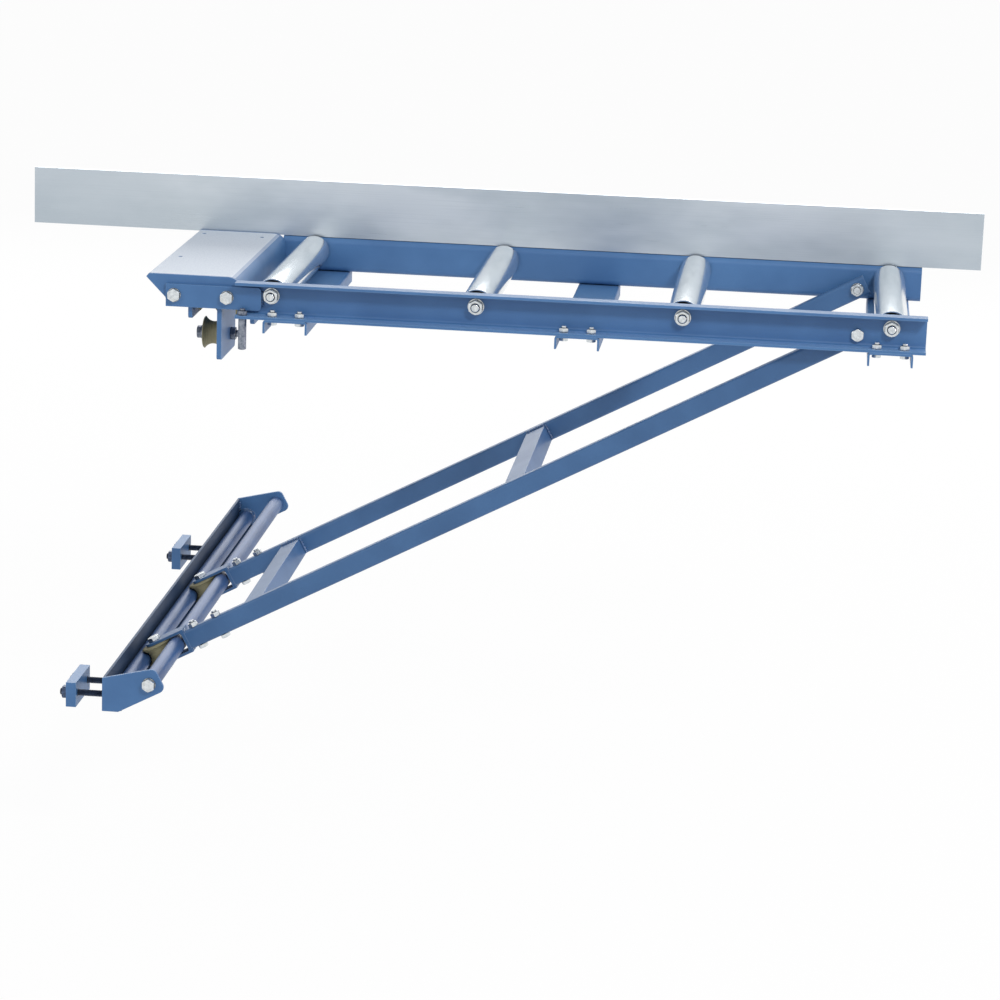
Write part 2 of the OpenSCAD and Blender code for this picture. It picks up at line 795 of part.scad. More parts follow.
// Brace bars: channels with their webs to the front
module brace_bar(face) {
    s0 = fork_root_at;
    s1 = brace_reach + brace_end;
    r = brace_wall / 2;
    color(blue)
        brace_frame()
            difference() {
                along_x(s0, s1)
                    translate([face, -brace_height / 2])
                        polygon(channel_section(brace_depth, brace_height, brace_wall, r));
                hole_y(brace_reach, 0, medium_bolt / 2 + bolt_gap, face, face + brace_wall);
                for (i = [0, 1])
                    hole_z(s0 + fork_bolt_inset + i * fork_bolt_pitch, face + bar_bolt_y,
                        small_bolt / 2 + bolt_gap, -brace_height / 2, brace_height / 2);
            }
}

// Struts: angles between the brace bars, ridge upwards. The front end sits under the front bar's
// upper flange, and a notch there takes the lower flange
module brace_strut(at) {
    y0 = brace_front_face + 2 * brace_wall;
    flange_y = brace_front_face + brace_depth;
    color(blue)
        brace_frame()
            difference() {
                along_y(y0, brace_rear_face)
                    translate([at, brace_height / 2 - brace_wall])
                        mirror([1, 0]) mirror([0, 1])
                            polygon(angle_section(
                                strut_leg, brace_height - brace_wall, strut_wall, strut_wall));
                translate([at - strut_wall - over, y0 - over, -brace_height / 2 - over])
                    cube([strut_wall + 2 * over, flange_y - y0 + over, brace_wall + over]);
            }
}

module brace_bolts() {
    color(zinc) {
        // Front: head on the side rail, nut in the brace bar
        front_grip = channel_wall + brace_front_gap + brace_wall;
        translate([pivot_x, web_front_y - channel_wall, pivot_z])
            rotate([90, 0, 0]) {
                bolt(medium_bolt, medium_flats, medium_head, front_grip + medium_nut + thread_end);
                translate([0, 0, -front_grip]) mirror([0, 0, 1])
                    nut(medium_bolt, medium_flats, medium_nut);
            }
        // Rear: head on the side rail, washer and nut on the brace bar's face
        rear_grip = channel_wall + brace_rear_gap + brace_depth;
        reach = rear_grip + medium_washer_thickness + medium_nut + thread_end;
        translate([pivot_x, web_rear_y + channel_wall, pivot_z])
            rotate([-90, 0, 0]) {
                bolt(medium_bolt, medium_flats, medium_head, reach);
                translate([0, 0, -rear_grip]) mirror([0, 0, 1]) {
                    washer(medium_bolt, medium_washer, medium_washer_thickness);
                    translate([0, 0, medium_washer_thickness])
                        nut(medium_bolt, medium_flats, medium_nut);
                }
            }
    }
}

// Spacers that keep the brace bars off the side rails
module brace_spacers() {
    color(zinc) {
        translate([pivot_x, brace_front_face, pivot_z])
            rotate([90, 0, 0]) washer(medium_bolt, medium_washer, brace_front_gap);
        translate([pivot_x, web_rear_y, pivot_z])
            rotate([90, 0, 0])
                washer(medium_bolt, medium_flats, web_rear_y - brace_rear_face - brace_wall);
    }
}

// Fork: two plates round the guide roller, a cross web and a shank in the brace bar
module fork_plate_shape(z0) {
    translate([0, 0, z0])
        difference() {
            union() {
                translate([guide_centre, 0, 0]) cylinder(r = fork_tip_radius, h = fork_plate);
                translate([guide_centre, -fork_width / 2, 0])
                    cube([fork_root_at - guide_centre, fork_width, fork_plate]);
            }
            translate([guide_centre, 0, -over])
                cylinder(r = guide_axle_diameter / 2 + nut_gap, h = fork_plate + 2 * over);
        }
}

module fork(y, face) {
    height = fork_gap + 2 * fork_plate;
    shank_height = brace_height - 2 * brace_wall - 2 * shank_clear;
    color(blue)
        brace_frame()
            difference() {
                union() {
                    translate([0, y, 0]) {
                        fork_plate_shape(fork_gap / 2);
                        fork_plate_shape(-fork_gap / 2 - fork_plate);
                        translate([fork_root_at - fork_web, -fork_width / 2, -height / 2])
                            cube([fork_web, fork_width, height]);
                    }
                    translate([fork_root_at - over, face + brace_wall + shank_clear, -shank_height / 2])
                        cube([fork_shank + over, shank_depth - shank_clear, shank_height]);
                }
                for (i = [0, 1])
                    hole_z(fork_root_at + fork_bolt_inset + i * fork_bolt_pitch, face + bar_bolt_y,
                        small_bolt / 2 + nut_gap, -shank_height / 2, shank_height / 2);
            }
}

module fork_bolts() {
    color(zinc)
        brace_frame()
            for (face = [brace_front_face, brace_rear_face], i = [0, 1])
                translate([
                    fork_root_at + fork_bolt_inset + i * fork_bolt_pitch,
                    face + bar_bolt_y,
                    -brace_height / 2])
                    mirror([0, 0, 1]) {
                        bolt(small_bolt, small_flats, small_head, brace_height + small_nut + thread_end);
                        translate([0, 0, -brace_height]) mirror([0, 0, 1])
                            nut(small_bolt, small_flats, small_nut);
                    }
}

module lower_guide_axles() {
    outside = fork_gap / 2 + fork_plate;
    color(zinc)
        brace_frame()
            for (y = [fork_front_y, fork_rear_y])
                translate([guide_centre, y, outside]) {
                    bolt(guide_axle_diameter, medium_flats, medium_head,
                        2 * outside + medium_nut + thread_end);
                    translate([0, 0, -2 * outside]) mirror([0, 0, 1])
                        nut(guide_axle_diameter, medium_flats, medium_nut);
                }
}

// Conveyor rollers on fixed axles
module roller_axles() {
    y0 = web_front_y - channel_wall - axle_reach;
    y1 = web_rear_y + channel_wall + axle_reach;
    edge = hex_chamfer;
    r = axle_diameter / 2;
    color(zinc)
        for (i = [0 : roller_count - 1])
            translate([roller_x(i), y0, roller_z])
                rotate([-90, 0, 0])
                    rotate_extrude()
                        polygon([
                            [0, 0], [r - edge, 0], [r, edge], [r, y1 - y0 - edge],
                            [r - edge, y1 - y0], [0, y1 - y0]]);
}

module axle_nuts() {
    color(zinc)
        for (i = [0 : roller_count - 1], side = [-1, 1])
            translate([
                roller_x(i),
                side < 0 ? web_front_y - channel_wall : web_rear_y + channel_wall,
                roller_z])
                rotate([-side * 90, 0, 0]) {
                    washer(axle_diameter, large_washer, large_washer_thickness);
                    translate([0, 0, large_washer_thickness])
                        nut(axle_diameter, large_nut_flats, large_nut);
                }
}

module roller_tube(i) {
    y0 = web_front_y + roller_side_gap;
    y1 = web_rear_y - roller_side_gap;
    if (i < roller_count)
        color(bright)
            difference() {
                translate([roller_x(i), y0, roller_z]) rotate([-90, 0, 0])
                    cylinder(r = roller_diameter / 2, h = y1 - y0);
                hole_y(roller_x(i), roller_z, roller_diameter / 2 - roller_wall, y0, y1);
            }
}

// End bearings: a rim in the tube, a thin web and a hub on the axle
module roller_bearings(i) {
    rim_r = roller_diameter / 2 - roller_wall;
    hub_r = axle_diameter / 2 + bearing_width / 3;
    rim_wall = bearing_width / 4;
    dish = bearing_width / 4;
    if (i < roller_count)
        color(zinc)
            for (side = [-1, 1])
                translate([
                    roller_x(i),
                    side < 0 ? web_front_y + roller_side_gap + bearing_inset
                        : web_rear_y - roller_side_gap - bearing_inset,
                    roller_z])
                    rotate([side * 90, 0, 0])
                        rotate_extrude()
                            polygon([
                                [axle_diameter / 2 + run_gap, 0],
                                [axle_diameter / 2 + run_gap, bearing_width],
                                [hub_r, bearing_width],
                                [hub_r, bearing_width - dish],
                                [rim_r - rim_wall, bearing_width - dish],
                                [rim_r - rim_wall, bearing_width],
                                [rim_r, bearing_width],
                                [rim_r, 0],
                                [rim_r - rim_wall, 0],
                                [rim_r - rim_wall, dish],
                                [hub_r, dish],
                                [hub_r, 0]]);
}

rail_back_angle();
rail_end_plate(rail_y0);  // rail_end_plate_front
rail_end_plate(rail_y1 - end_plate_thickness);  // rail_end_plate_rear
guide_tube(tube_x, tube_z);  // rail_inner_tube
guide_tube(outer_tube_x, outer_tube_z);  // rail_outer_tube
outer_tube_bolts();
leg_clamp_bar(0);  // leg_clamp_bar_front
leg_clamp_bar(clamp_pitch);  // leg_clamp_bar_rear
clamp_rods();
clamp_nuts();
head_cover();
head_skirt(web_front_y - head_sheet);  // head_skirt_front
head_skirt(web_rear_y);  // head_skirt_rear
splice_bar(web_front_y - channel_wall - splice_thickness);  // splice_bar_front
splice_bar(web_rear_y + channel_wall);  // splice_bar_rear
head_bolts();
side_rail(web_front_y, -1);  // side_rail_front
side_rail(web_rear_y, 1);  // side_rail_rear
cross_member(0);  // cross_member_left
cross_member(1);  // cross_member_middle
cross_member(2);  // cross_member_right
cross_member_bolts();
hanger_left(-1);  // hanger_left_front
hanger_left(1);  // hanger_left_rear
hanger_right(-1);  // hanger_right_front
hanger_right(1);  // hanger_right_rear
upper_guide_axles();
stop_pin();
fence_plate();
fence_brackets();
fence_bolts();
brace_bar(brace_front_face);  // brace_bar_front
brace_bar(brace_rear_face);  // brace_bar_rear
brace_strut(strut_low_at);  // brace_strut_lower
brace_strut(strut_high_at);  // brace_strut_upper
brace_bolts();
brace_spacers();
fork(fork_front_y, brace_front_face);  // fork_front
fork(fork_rear_y, brace_rear_face);  // fork_rear
fork_bolts();
lower_guide_axles();
roller_axles();
axle_nuts();
roller_tube(0);  // roller_tube_1
roller_tube(1);  // roller_tube_2
roller_tube(2);  // roller_tube_3
roller_tube(3);  // roller_tube_4
roller_bearings(0);  // roller_bearings_1
roller_bearings(1);  // roller_bearings_2
roller_bearings(2);  // roller_bearings_3
roller_bearings(3);  // roller_bearings_4
lower_guide_roller(fork_front_y);  // lower_guide_roller_front
lower_guide_roller(fork_rear_y);  // lower_guide_roller_rear
upper_guide_roller(top_roller_y(-1), top_roller_z);  // top_guide_roller_front
upper_guide_roller(top_roller_y(1), top_roller_z);  // top_guide_roller_rear
upper_guide_roller(low_roller_y(-1), low_roller_z);  // under_guide_roller_front
upper_guide_roller(low_roller_y(1), low_roller_z);  // under_guide_roller_rear
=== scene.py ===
"""Looks of a roller conveyor table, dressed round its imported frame."""

import logging
import math
from dataclasses import dataclass
from enum import Enum
from typing import Iterable, Sequence

import bmesh
import bpy
from mathutils import Matrix, Vector


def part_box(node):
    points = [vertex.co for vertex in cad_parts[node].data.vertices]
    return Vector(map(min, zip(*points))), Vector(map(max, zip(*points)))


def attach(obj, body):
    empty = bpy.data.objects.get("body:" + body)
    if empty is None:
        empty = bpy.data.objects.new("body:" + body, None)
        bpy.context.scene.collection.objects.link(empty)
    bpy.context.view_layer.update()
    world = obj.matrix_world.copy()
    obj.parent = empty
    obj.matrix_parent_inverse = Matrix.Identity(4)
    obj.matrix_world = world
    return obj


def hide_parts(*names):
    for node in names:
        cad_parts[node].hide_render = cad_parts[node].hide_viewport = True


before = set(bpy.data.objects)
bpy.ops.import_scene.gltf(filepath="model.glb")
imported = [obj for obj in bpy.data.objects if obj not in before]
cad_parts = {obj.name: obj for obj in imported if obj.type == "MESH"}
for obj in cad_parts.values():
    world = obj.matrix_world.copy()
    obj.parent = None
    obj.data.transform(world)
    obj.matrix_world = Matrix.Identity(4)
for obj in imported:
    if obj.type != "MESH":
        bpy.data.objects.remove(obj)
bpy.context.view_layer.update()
LOG = logging.getLogger("conveyor_table")
MM = 0.001
# A length in metres beyond every place on the table
FAR = 9.0
# Distance in metres within which points are one, and angle in degrees up to which faces are one
MERGE = 0.002 * MM
FLAT = 1.0
# Angles in degrees above which an edge is rounded, a round rim's edge chamfered, and shading broken
SHARP_CORNER = 38.0
RIM_CORNER = 75.0
SHADE_CORNER = 32.0
# Longest edge of a round rim's facets
RIM_EDGE = 1.3 * MM
# The brace's slope, in radians
BRACE_SLOPE = math.radians(28.2344)
Pair = tuple[float, float]
Triple = tuple[float, float, float]
Colour = tuple[float, float, float, float]


class Slot(Enum):
    """The record's material slots."""

    PAINT = "blue_paint"
    ZINC = "zinc"
    DARK_ZINC = "dark_zinc"
    ROLLER = "roller_steel"
    FENCE = "fence_aluminium"
    PLASTIC = "olive_plastic"


# Shader maths


@dataclass(frozen=True)
class Marks:
    """A noise's pattern on a surface.

    Attributes:
        scale: its marks to the metre.
        detail: its octaves.
        rough: the strength of its fine octaves.
        span: the levels between which its marks come out.
        stretch: how much more closely it lies along each axis.
        turn: its turns round the axes, in radians.
    """

    scale: float
    detail: float
    rough: float
    span: Pair = (0.3, 0.7)
    stretch: Triple = (1, 1, 1)
    turn: Triple = (0, 0, 0)


class Level:
    """A shader socket that takes part in Python arithmetic."""

    def __init__(self, graph: "Graph", socket: bpy.types.NodeSocket) -> None:
        """Keeps the graph and the socket.

        Args:
            graph: the graph that the socket's node belongs to.
            socket: an output socket.
        """
        self.graph = graph
        self.socket = socket

    def _math(self, operation: str, *terms: object) -> "Level":
        """Returns a Math node's result."""
        return self.graph.node("ShaderNodeMath", {"operation": operation}, dict(enumerate(terms)))

    def __add__(self, other: object) -> "Level":
        """Returns the sum."""
        return self._math("ADD", self, other)

    def __radd__(self, other: object) -> "Level":
        """Returns the sum with a number on the left."""
        return self._math("ADD", other, self)

    def __sub__(self, other: object) -> "Level":
        """Returns the difference."""
        return self._math("SUBTRACT", self, other)

    def __rsub__(self, other: object) -> "Level":
        """Returns the difference from a number on the left."""
        return self._math("SUBTRACT", other, self)

    def __mul__(self, other: object) -> "Level":
        """Returns the product."""
        return self._math("MULTIPLY", self, other)

    def __rmul__(self, other: object) -> "Level":
        """Returns the product with a number on the left."""
        return self._math("MULTIPLY", other, self)

    def __abs__(self) -> "Level":
        """Returns the distance from 0."""
        return self._math("ABSOLUTE", self)

    def top(self, other: object) -> "Level":
        """Returns the larger of the two."""
        return self._math("MAXIMUM", self, other)

    def step(self, low: float, high: float) -> "Level":
        """Returns a smooth rise from 0 to 1.

        Args:
            low: the value at which the rise starts.
            high: the value at which it ends.

        Returns:
            The risen level.
        """
        return self.graph.node(
            "ShaderNodeMapRange",
            {"interpolation_type": "SMOOTHSTEP"},
            {"Value": self, "From Min": low, "From Max": high})


class Graph:
    """The nodes of one material or world.

    Attributes:
        RAYS: the rays of an occlusion reading.
        UPWARD: the span of upward share in which a face comes to look straight up.
    """

    RAYS = 8
    UPWARD = (0.86, 0.99)

    def __init__(self, owner: bpy.types.Material | bpy.types.World, ending: str) -> None:
        """Empties the owner's nodes and gives it an output.

        Args:
            owner: the material or world.
            ending: the type of its output node.
        """
        self.owner = owner
        owner.use_nodes = True
        self.tree = owner.node_tree
        self.tree.nodes.clear()
        self.output = self.tree.nodes.new(ending)

    @classmethod
    def of_material(cls, name: str) -> "Graph":
        """Returns the graph of a new material."""
        return cls(bpy.data.materials.new(name), "ShaderNodeOutputMaterial")

    def node(
        self,
        kind: str,
        settings: dict[str, object] | None = None,
        inputs: dict[int | str, object] | None = None,
        out: int | str = 0,
    ) -> Level:
        """Makes a node.

        Args:
            kind: the node's type.
            settings: its attributes.
            inputs: values or levels for its input sockets.
            out: the output socket that is wanted.

        Returns:
            The wanted output.
        """
        made = self.tree.nodes.new(kind)
        for key, value in (settings or {}).items():
            setattr(made, key, value)
        for key, value in (inputs or {}).items():
            if isinstance(value, Level):
                self.tree.links.new(value.socket, made.inputs[key])
            else:
                made.inputs[key].default_value = value
        return Level(self, made.outputs[out])

    def place(self) -> Level:
        """Returns the place on the piece, in metres."""
        return self.node("ShaderNodeTexCoord", out="Object")

    def along(self, axis: str) -> Level:
        """Returns the place along X, Y or Z, in metres."""
        return self.node("ShaderNodeSeparateXYZ", None, {"Vector": self.place()}, out=axis)

    def noise(self, marks: Marks, where: Level | None = None) -> Level:
        """Returns a noise between 0 and 1.

        Args:
            marks: the noise's pattern.
            where: the place that it reads, if not the place on the piece.

        Returns:
            The noise's level.
        """
        spread = self.node(
            "ShaderNodeMapping", None,
            {"Vector": where or self.place(), "Scale": marks.stretch, "Rotation": marks.turn})
        return self.node(
            "ShaderNodeTexNoise", None,
            {"Vector": spread, "Scale": marks.scale, "Detail": marks.detail, "Roughness": marks.rough})

    def blend(self, factor: object, first: object, second: object) -> Level:
        """Returns a mix of two colours."""
        return self.node(
            "ShaderNodeMix", {"data_type": "RGBA"}, {0: factor, 6: first, 7: second}, out=2)

    def bump(self, height: Level, distance: float) -> Level:
        """Returns normals bent by a height, where 1 stands for a distance in metres."""
        return self.node("ShaderNodeBump", None, {"Height": height, "Distance": distance})

    def crevice(self, reach: float) -> Level:
        """Returns how open the surface lies, from 0 in a corner to 1, within a reach in metres."""
        return self.node(
            "ShaderNodeAmbientOcclusion", {"samples": self.RAYS}, {"Distance": reach}, out="AO")

    def ridge(self, reach: float) -> Level:
        """Returns how near an outer edge lies, from 0 on flat metal, within a reach in metres."""
        metal = self.node(
            "ShaderNodeAmbientOcclusion",
            {"samples": self.RAYS, "inside": True, "only_local": True},
            {"Distance": reach}, out="AO")
        return 1.0 - metal

    def facing_up(self) -> Level:
        """Returns 1 on faces that look straight up."""
        normal = self.node("ShaderNodeNewGeometry", out="True Normal")
        return self.node("ShaderNodeSeparateXYZ", None, {"Vector": normal}, out="Z").step(*self.UPWARD)

    def seen(self) -> Level:
        """Returns 1 for rays from the camera, from a reflection and through glass."""
        camera, glossy, glass = (
            self.node("ShaderNodeLightPath", out=f"Is {kind} Ray")
            for kind in ("Camera", "Glossy", "Transmission"))
        return camera.top(glossy).top(glass)

    def surface(self, inputs: dict[str, object]) -> bpy.types.Material:
        """Ends a material with a surface shader that has these values or levels, and returns it."""
        return self.end(self.node("ShaderNodeBsdfPrincipled", None, inputs))

    def end(self, shader: Level) -> bpy.types.Material | bpy.types.World:
        """Links a shader to the output and returns the material or world."""
        self.tree.links.new(shader.socket, self.output.inputs["Surface"])
        return self.owner


def grey(value: float) -> Colour:
    """Returns a neutral colour."""
    return (value, value, value, 1.0)


def tone(red: float, green: float, blue: float) -> Colour:
    """Turns a screen colour into a linear one.

    Args:
        red: its red, from 0 to 255.
        green: its green.
        blue: its blue.

    Returns:
        The linear colour.
    """
    def linear(level: float) -> float:
        """Returns one channel's linear value, by the screen's standard curve."""
        share = level / 255
        return share / 12.92 if share <= 0.04045 else ((share + 0.055) / 1.055) ** 2.4
    return (linear(red), linear(green), linear(blue), 1.0)


# Finishes


@dataclass(frozen=True)
class Paint:
    """Blue enamel on rolled steel: satin, with a fine orange peel and rub specks, painted shade in corners,
    and painted highlights along edges and on upward faces.

    Lengths are in metres. Some sizes need a word:

    Attributes:
        specks: how strongly the rub specks show.
        peel: the height of the orange peel.
        edge_highlight_reach: how far from an edge its painted highlight begins.
        least_edge_highlight: how strongly an edge gets the painted highlight at least.
        cloudy_edge_highlight: how much stronger that painted highlight is where the clouds are thick.
        upward_highlight_below: the height below which level faces get a painted highlight.
        upward_highlight_fade: the height over which that painted highlight ends.
    """

    name: str = "blue_enamel"
    body: Colour = tone(74, 118, 168)
    deep: Colour = tone(64, 106, 155)
    # Pale blue, of the rub specks and of the painted highlight along outer edges
    rubbed_and_edge_highlight: Colour = tone(120, 156, 194)
    # Darkest blue, of the painted shade in corners and where pieces meet
    painted_shade: Colour = tone(24, 46, 76)
    # Paler blue, of the painted highlight on upward faces
    upward_highlight: Colour = tone(82, 124, 172)
    roughness: float = 0.46
    specular: float = 0.4
    coat: float = 0.12
    coat_roughness: float = 0.2
    clouds: Marks = Marks(9, 3, 0.55)
    cloud_dullness: float = 0.12
    grain: Marks = Marks(380, 3, 0.7, span=(0.42, 0.72))
    grain_depth: float = 0.22
    grain_height: float = 0.4
    rubs: Marks = Marks(38, 6, 0.7, span=(0.66, 0.78), stretch=(1, 1.6, 2.4))
    rub_dullness: float = 0.1
    specks: float = 0.3
    dimples: Marks = Marks(420, 2, 0.5)
    peel: float = 0.03 * MM
    # Painted highlight along outer edges:
    edge_highlight_reach: float = 1.3 * MM
    edge_highlight_span: Pair = (0.1, 0.5)
    least_edge_highlight: float = 0.25
    cloudy_edge_highlight: float = 0.6
    # Reach and span of the painted shade in corners
    painted_shade_reach: float = 3.5 * MM
    painted_shade_span: Pair = (0.02, 0.55)
    # Painted highlight on upward faces, only below this height
    upward_highlight_below: float = FAR
    upward_highlight_fade: float = 1 * MM

    def material(self) -> bpy.types.Material:
        """Mixes the enamel.

        Returns:
            The finish as a material.
        """
        g = Graph.of_material(self.name)
        cloud = g.noise(self.clouds)
        grain = g.noise(self.grain)
        rub = g.noise(self.rubs).step(*self.rubs.span)
        colour = g.blend(cloud.step(*self.clouds.span), self.body, self.deep)
        # Painted highlight: upward faces below a given height are made paler
        low = 1.0 - g.along("Z").step(self.upward_highlight_below, self.upward_highlight_below + self.upward_highlight_fade)
        colour = g.blend(g.facing_up() * low, colour, self.upward_highlight)
        colour = g.blend(grain.step(*self.grain.span) * self.grain_depth, colour, self.deep)
        colour = g.blend(rub * self.specks, colour, self.rubbed_and_edge_highlight)
        # Painted highlight along outer edges, stronger where the clouds are thick
        edge = g.ridge(self.edge_highlight_reach).step(*self.edge_highlight_span)
        colour = g.blend(edge * (cloud * self.cloudy_edge_highlight + self.least_edge_highlight), colour, self.rubbed_and_edge_highlight)
        # Painted shade: darkens corners and the places where pieces meet
        colour = g.blend(g.crevice(self.painted_shade_reach).step(*self.painted_shade_span), self.painted_shade, colour)
        return g.surface({
            "Base Color": colour,
            "Roughness": self.roughness + (cloud - 0.5) * self.cloud_dullness + rub * self.rub_dullness,
            "Specular IOR Level": self.specular,
            "Coat Weight": self.coat,
            "Coat Roughness": self.coat_roughness,
            "Normal": g.bump(g.noise(self.dimples) + grain * self.grain_height, self.peel)})


@dataclass(frozen=True)
class Plating:
    """Zinc plate on small steel pieces: bright, a little uneven, with painted shade where pieces meet."""

    name: str = "zinc_plate"
    pale: Colour = tone(224, 229, 231)
    dull: Colour = tone(196, 202, 206)
    warm: Colour = tone(212, 210, 198)
    # Darkest grey, of the painted shade where pieces meet
    painted_shade: Colour = tone(24, 28, 36)
    roughness: float = 0.16
    metallic: float = 0.95
    patches: Marks = Marks(210, 3, 0.6, span=(0.3, 0.72))
    patch_dullness: float = 0.14
    tints: Marks = Marks(60, 2, 0.5, span=(0.52, 0.7))
    tint_share: float = 0.3
    pits: Marks = Marks(1100, 2, 0.5)
    pit_depth: float = 0.01 * MM
    # Reach and span of that painted shade
    painted_shade_reach: float = 2.8 * MM
    painted_shade_span: Pair = (0.4, 0.95)

    def material(self) -> bpy.types.Material:
        """Mixes the plate.

        Returns:
            The finish as a material.
        """
        g = Graph.of_material(self.name)
        patch = g.noise(self.patches)
        tint = g.noise(self.tints).step(*self.tints.span)
        colour = g.blend(patch.step(*self.patches.span), self.pale, self.dull)
        colour = g.blend(tint * self.tint_share, colour, self.warm)
        # Painted shade: darkens the places where pieces meet
        colour = g.blend(g.crevice(self.painted_shade_reach).step(*self.painted_shade_span), self.painted_shade, colour)
        return g.surface({
            "Base Color": colour,
            "Metallic": self.metallic,
            "Roughness": self.roughness + patch * self.patch_dullness,
            "Normal": g.bump(g.noise(self.pits), self.pit_depth)})


@dataclass(frozen=True)
class TubePolish:
    """Bright steel roller tube: rings from turning, soft stains from use."""

    name: str = "roller_tube_steel"
    pale: Colour = tone(244, 247, 248)
    dull: Colour = tone(226, 232, 236)
    streak: Colour = tone(202, 209, 214)
    roughness: float = 0.08
    metallic: float = 0.9
    rings: Marks = Marks(1, 3, 0.6, stretch=(6, 900, 6))
    ring_dullness: float = 0.05
    ring_depth: float = 0.006 * MM
    stains: Marks = Marks(34, 4, 0.6, span=(0.35, 0.7), stretch=(1, 0.5, 1))
    stain_dullness: float = 0.09
    streaks: Marks = Marks(26, 3, 0.6, span=(0.5, 0.7), stretch=(2.5, 0.35, 2.5))
    streak_share: float = 0.5

    def material(self) -> bpy.types.Material:
        """Mixes the steel.

        Returns:
            The finish as a material.
        """
        g = Graph.of_material(self.name)
        rings = g.noise(self.rings)
        stain = g.noise(self.stains)
        streak = g.noise(self.streaks).step(*self.streaks.span)
        colour = g.blend(stain.step(*self.stains.span), self.pale, self.dull)
        colour = g.blend(streak * self.streak_share, colour, self.streak)
        return g.surface({
            "Base Color": colour,
            "Metallic": self.metallic,
            "Roughness": self.roughness + stain * self.stain_dullness + rings * self.ring_dullness,
            "Normal": g.bump(rings, self.ring_depth)})


@dataclass(frozen=True)
class BrushedAlloy:
    """Rolled aluminium of the fence: long fine grain, painted cloudy reflections with darker patches, darker
    ends.
    """

    name: str = "fence_alloy"
    pale: Colour = tone(214, 221, 227)
    mid: Colour = tone(195, 204, 211)
    dark: Colour = tone(168, 180, 190)
    roughness: float = 0.21
    metallic: float = 0.85
    grain: Marks = Marks(1, 3, 0.7, span=(0.45, 0.8), stretch=(5, 500, 900))
    grain_share: float = 0.25
    grain_dullness: float = 0.1
    grain_depth: float = 0.01 * MM
    clouds: Marks = Marks(1, 4, 0.6, span=(0.36, 0.64), stretch=(3.2, 3.2, 9), turn=(0, 0.35, 0))
    cloud_dullness: float = 0.08
    patches: Marks = Marks(1.6, 3, 0.5, span=(0.5, 0.72), stretch=(1.4, 1, 5), turn=(0, -0.2, 0))
    patch_share: float = 0.6
    middle: float = 0.55
    end_span: Pair = (0.35, 0.75)
    end_share: float = 0.6

    def material(self) -> bpy.types.Material:
        """Mixes the aluminium.

        Returns:
            The finish as a material.
        """
        g = Graph.of_material(self.name)
        grain = g.noise(self.grain)
        cloud = g.noise(self.clouds)
        patch = g.noise(self.patches).step(*self.patches.span)
        end = abs(g.along("X") - self.middle).step(*self.end_span)
        # Painted reflections: large soft clouds of pale and mid grey
        colour = g.blend(cloud.step(*self.clouds.span), self.mid, self.pale)
        # Darker painted reflection patches, darker grain, and darker ends
        for share in (
            patch * self.patch_share, grain.step(*self.grain.span) * self.grain_share,
            end * self.end_share,
        ):
            colour = g.blend(share, colour, self.dark)
        return g.surface({
            "Base Color": colour,
            "Metallic": self.metallic,
            "Roughness": self.roughness + grain * self.grain_dullness + cloud * self.cloud_dullness,
            "Normal": g.bump(grain, self.grain_depth)})


@dataclass(frozen=True)
class TurnedPlastic:
    """Olive guide roller plastic with turning marks along the roller's own axis."""

    name: str
    axis: Triple
    pale: Colour = tone(152, 148, 118)
    deep: Colour = tone(108, 103, 74)
    roughness: float = 0.5
    turns_per_metre: float = 1500
    turned: Marks = Marks(1, 2, 0.6)
    turned_dullness: float = 0.15
    turned_depth: float = 0.06 * MM
    soil: Marks = Marks(120, 3, 0.6, span=(0.55, 0.75))
    soil_share: float = 0.4

    def material(self) -> bpy.types.Material:
        """Mixes the plastic.

        Returns:
            The finish as a material.
        """
        g = Graph.of_material(self.name)
        along = g.node(
            "ShaderNodeVectorMath", {"operation": "DOT_PRODUCT"}, {0: g.place(), 1: self.axis}, out="Value")
        line = g.node("ShaderNodeCombineXYZ", None, {"X": along * self.turns_per_metre})
        turned = g.noise(self.turned, line)
        soil = g.noise(self.soil).step(*self.soil.span)
        colour = g.blend(turned.step(*self.turned.span), self.deep, self.pale)
        colour = g.blend(soil * self.soil_share, colour, self.deep)
        return g.surface({
            "Base Color": colour,
            "Roughness": self.roughness + turned * self.turned_dullness,
            "Normal": g.bump(turned, self.turned_depth)})


@dataclass(frozen=True)
class PaleFloor:
    """Pale floor that runs into the white surroundings and keeps a faint shadow."""

    name: str = "pale_floor"
    dark: Colour = grey(0.86)
    pale: Colour = grey(0.9)
    speckles: Marks = Marks(3, 3, 0.5)
    whiteness: float = 0.95

    def material(self) -> bpy.types.Material:
        """Mixes the floor.

        Returns:
            The floor's material.
        """
        g = Graph.of_material(self.name)
        colour = g.blend(g.noise(self.speckles), self.dark, self.pale)
        floor = g.node("ShaderNodeBsdfDiffuse", None, {"Color": colour})
        glow = g.node("ShaderNodeEmission", None, {"Color": grey(1)})
        return g.end(g.node("ShaderNodeMixShader", None, {0: g.seen() * self.whiteness, 1: floor, 2: glow}))


# Mesh work


def make_object(mesh: bmesh.types.BMesh, name: str, sharp: float = SHADE_CORNER) -> bpy.types.Object:
    """Turns a finished bmesh into an object at the origin.

    Args:
        mesh: the bmesh, which is freed.
        name: the object's name.
        sharp: the angle in degrees above which an edge stays sharp.

    Returns:
        The new object.
    """
    data = bpy.data.meshes.new(name)
    mesh.to_mesh(data)
    mesh.free()
    for face in data.polygons:
        face.use_smooth = True
    data.set_sharp_from_angle(angle=math.radians(sharp))
    made = bpy.data.objects.new(name, data)
    bpy.context.scene.collection.objects.link(made)
    return made


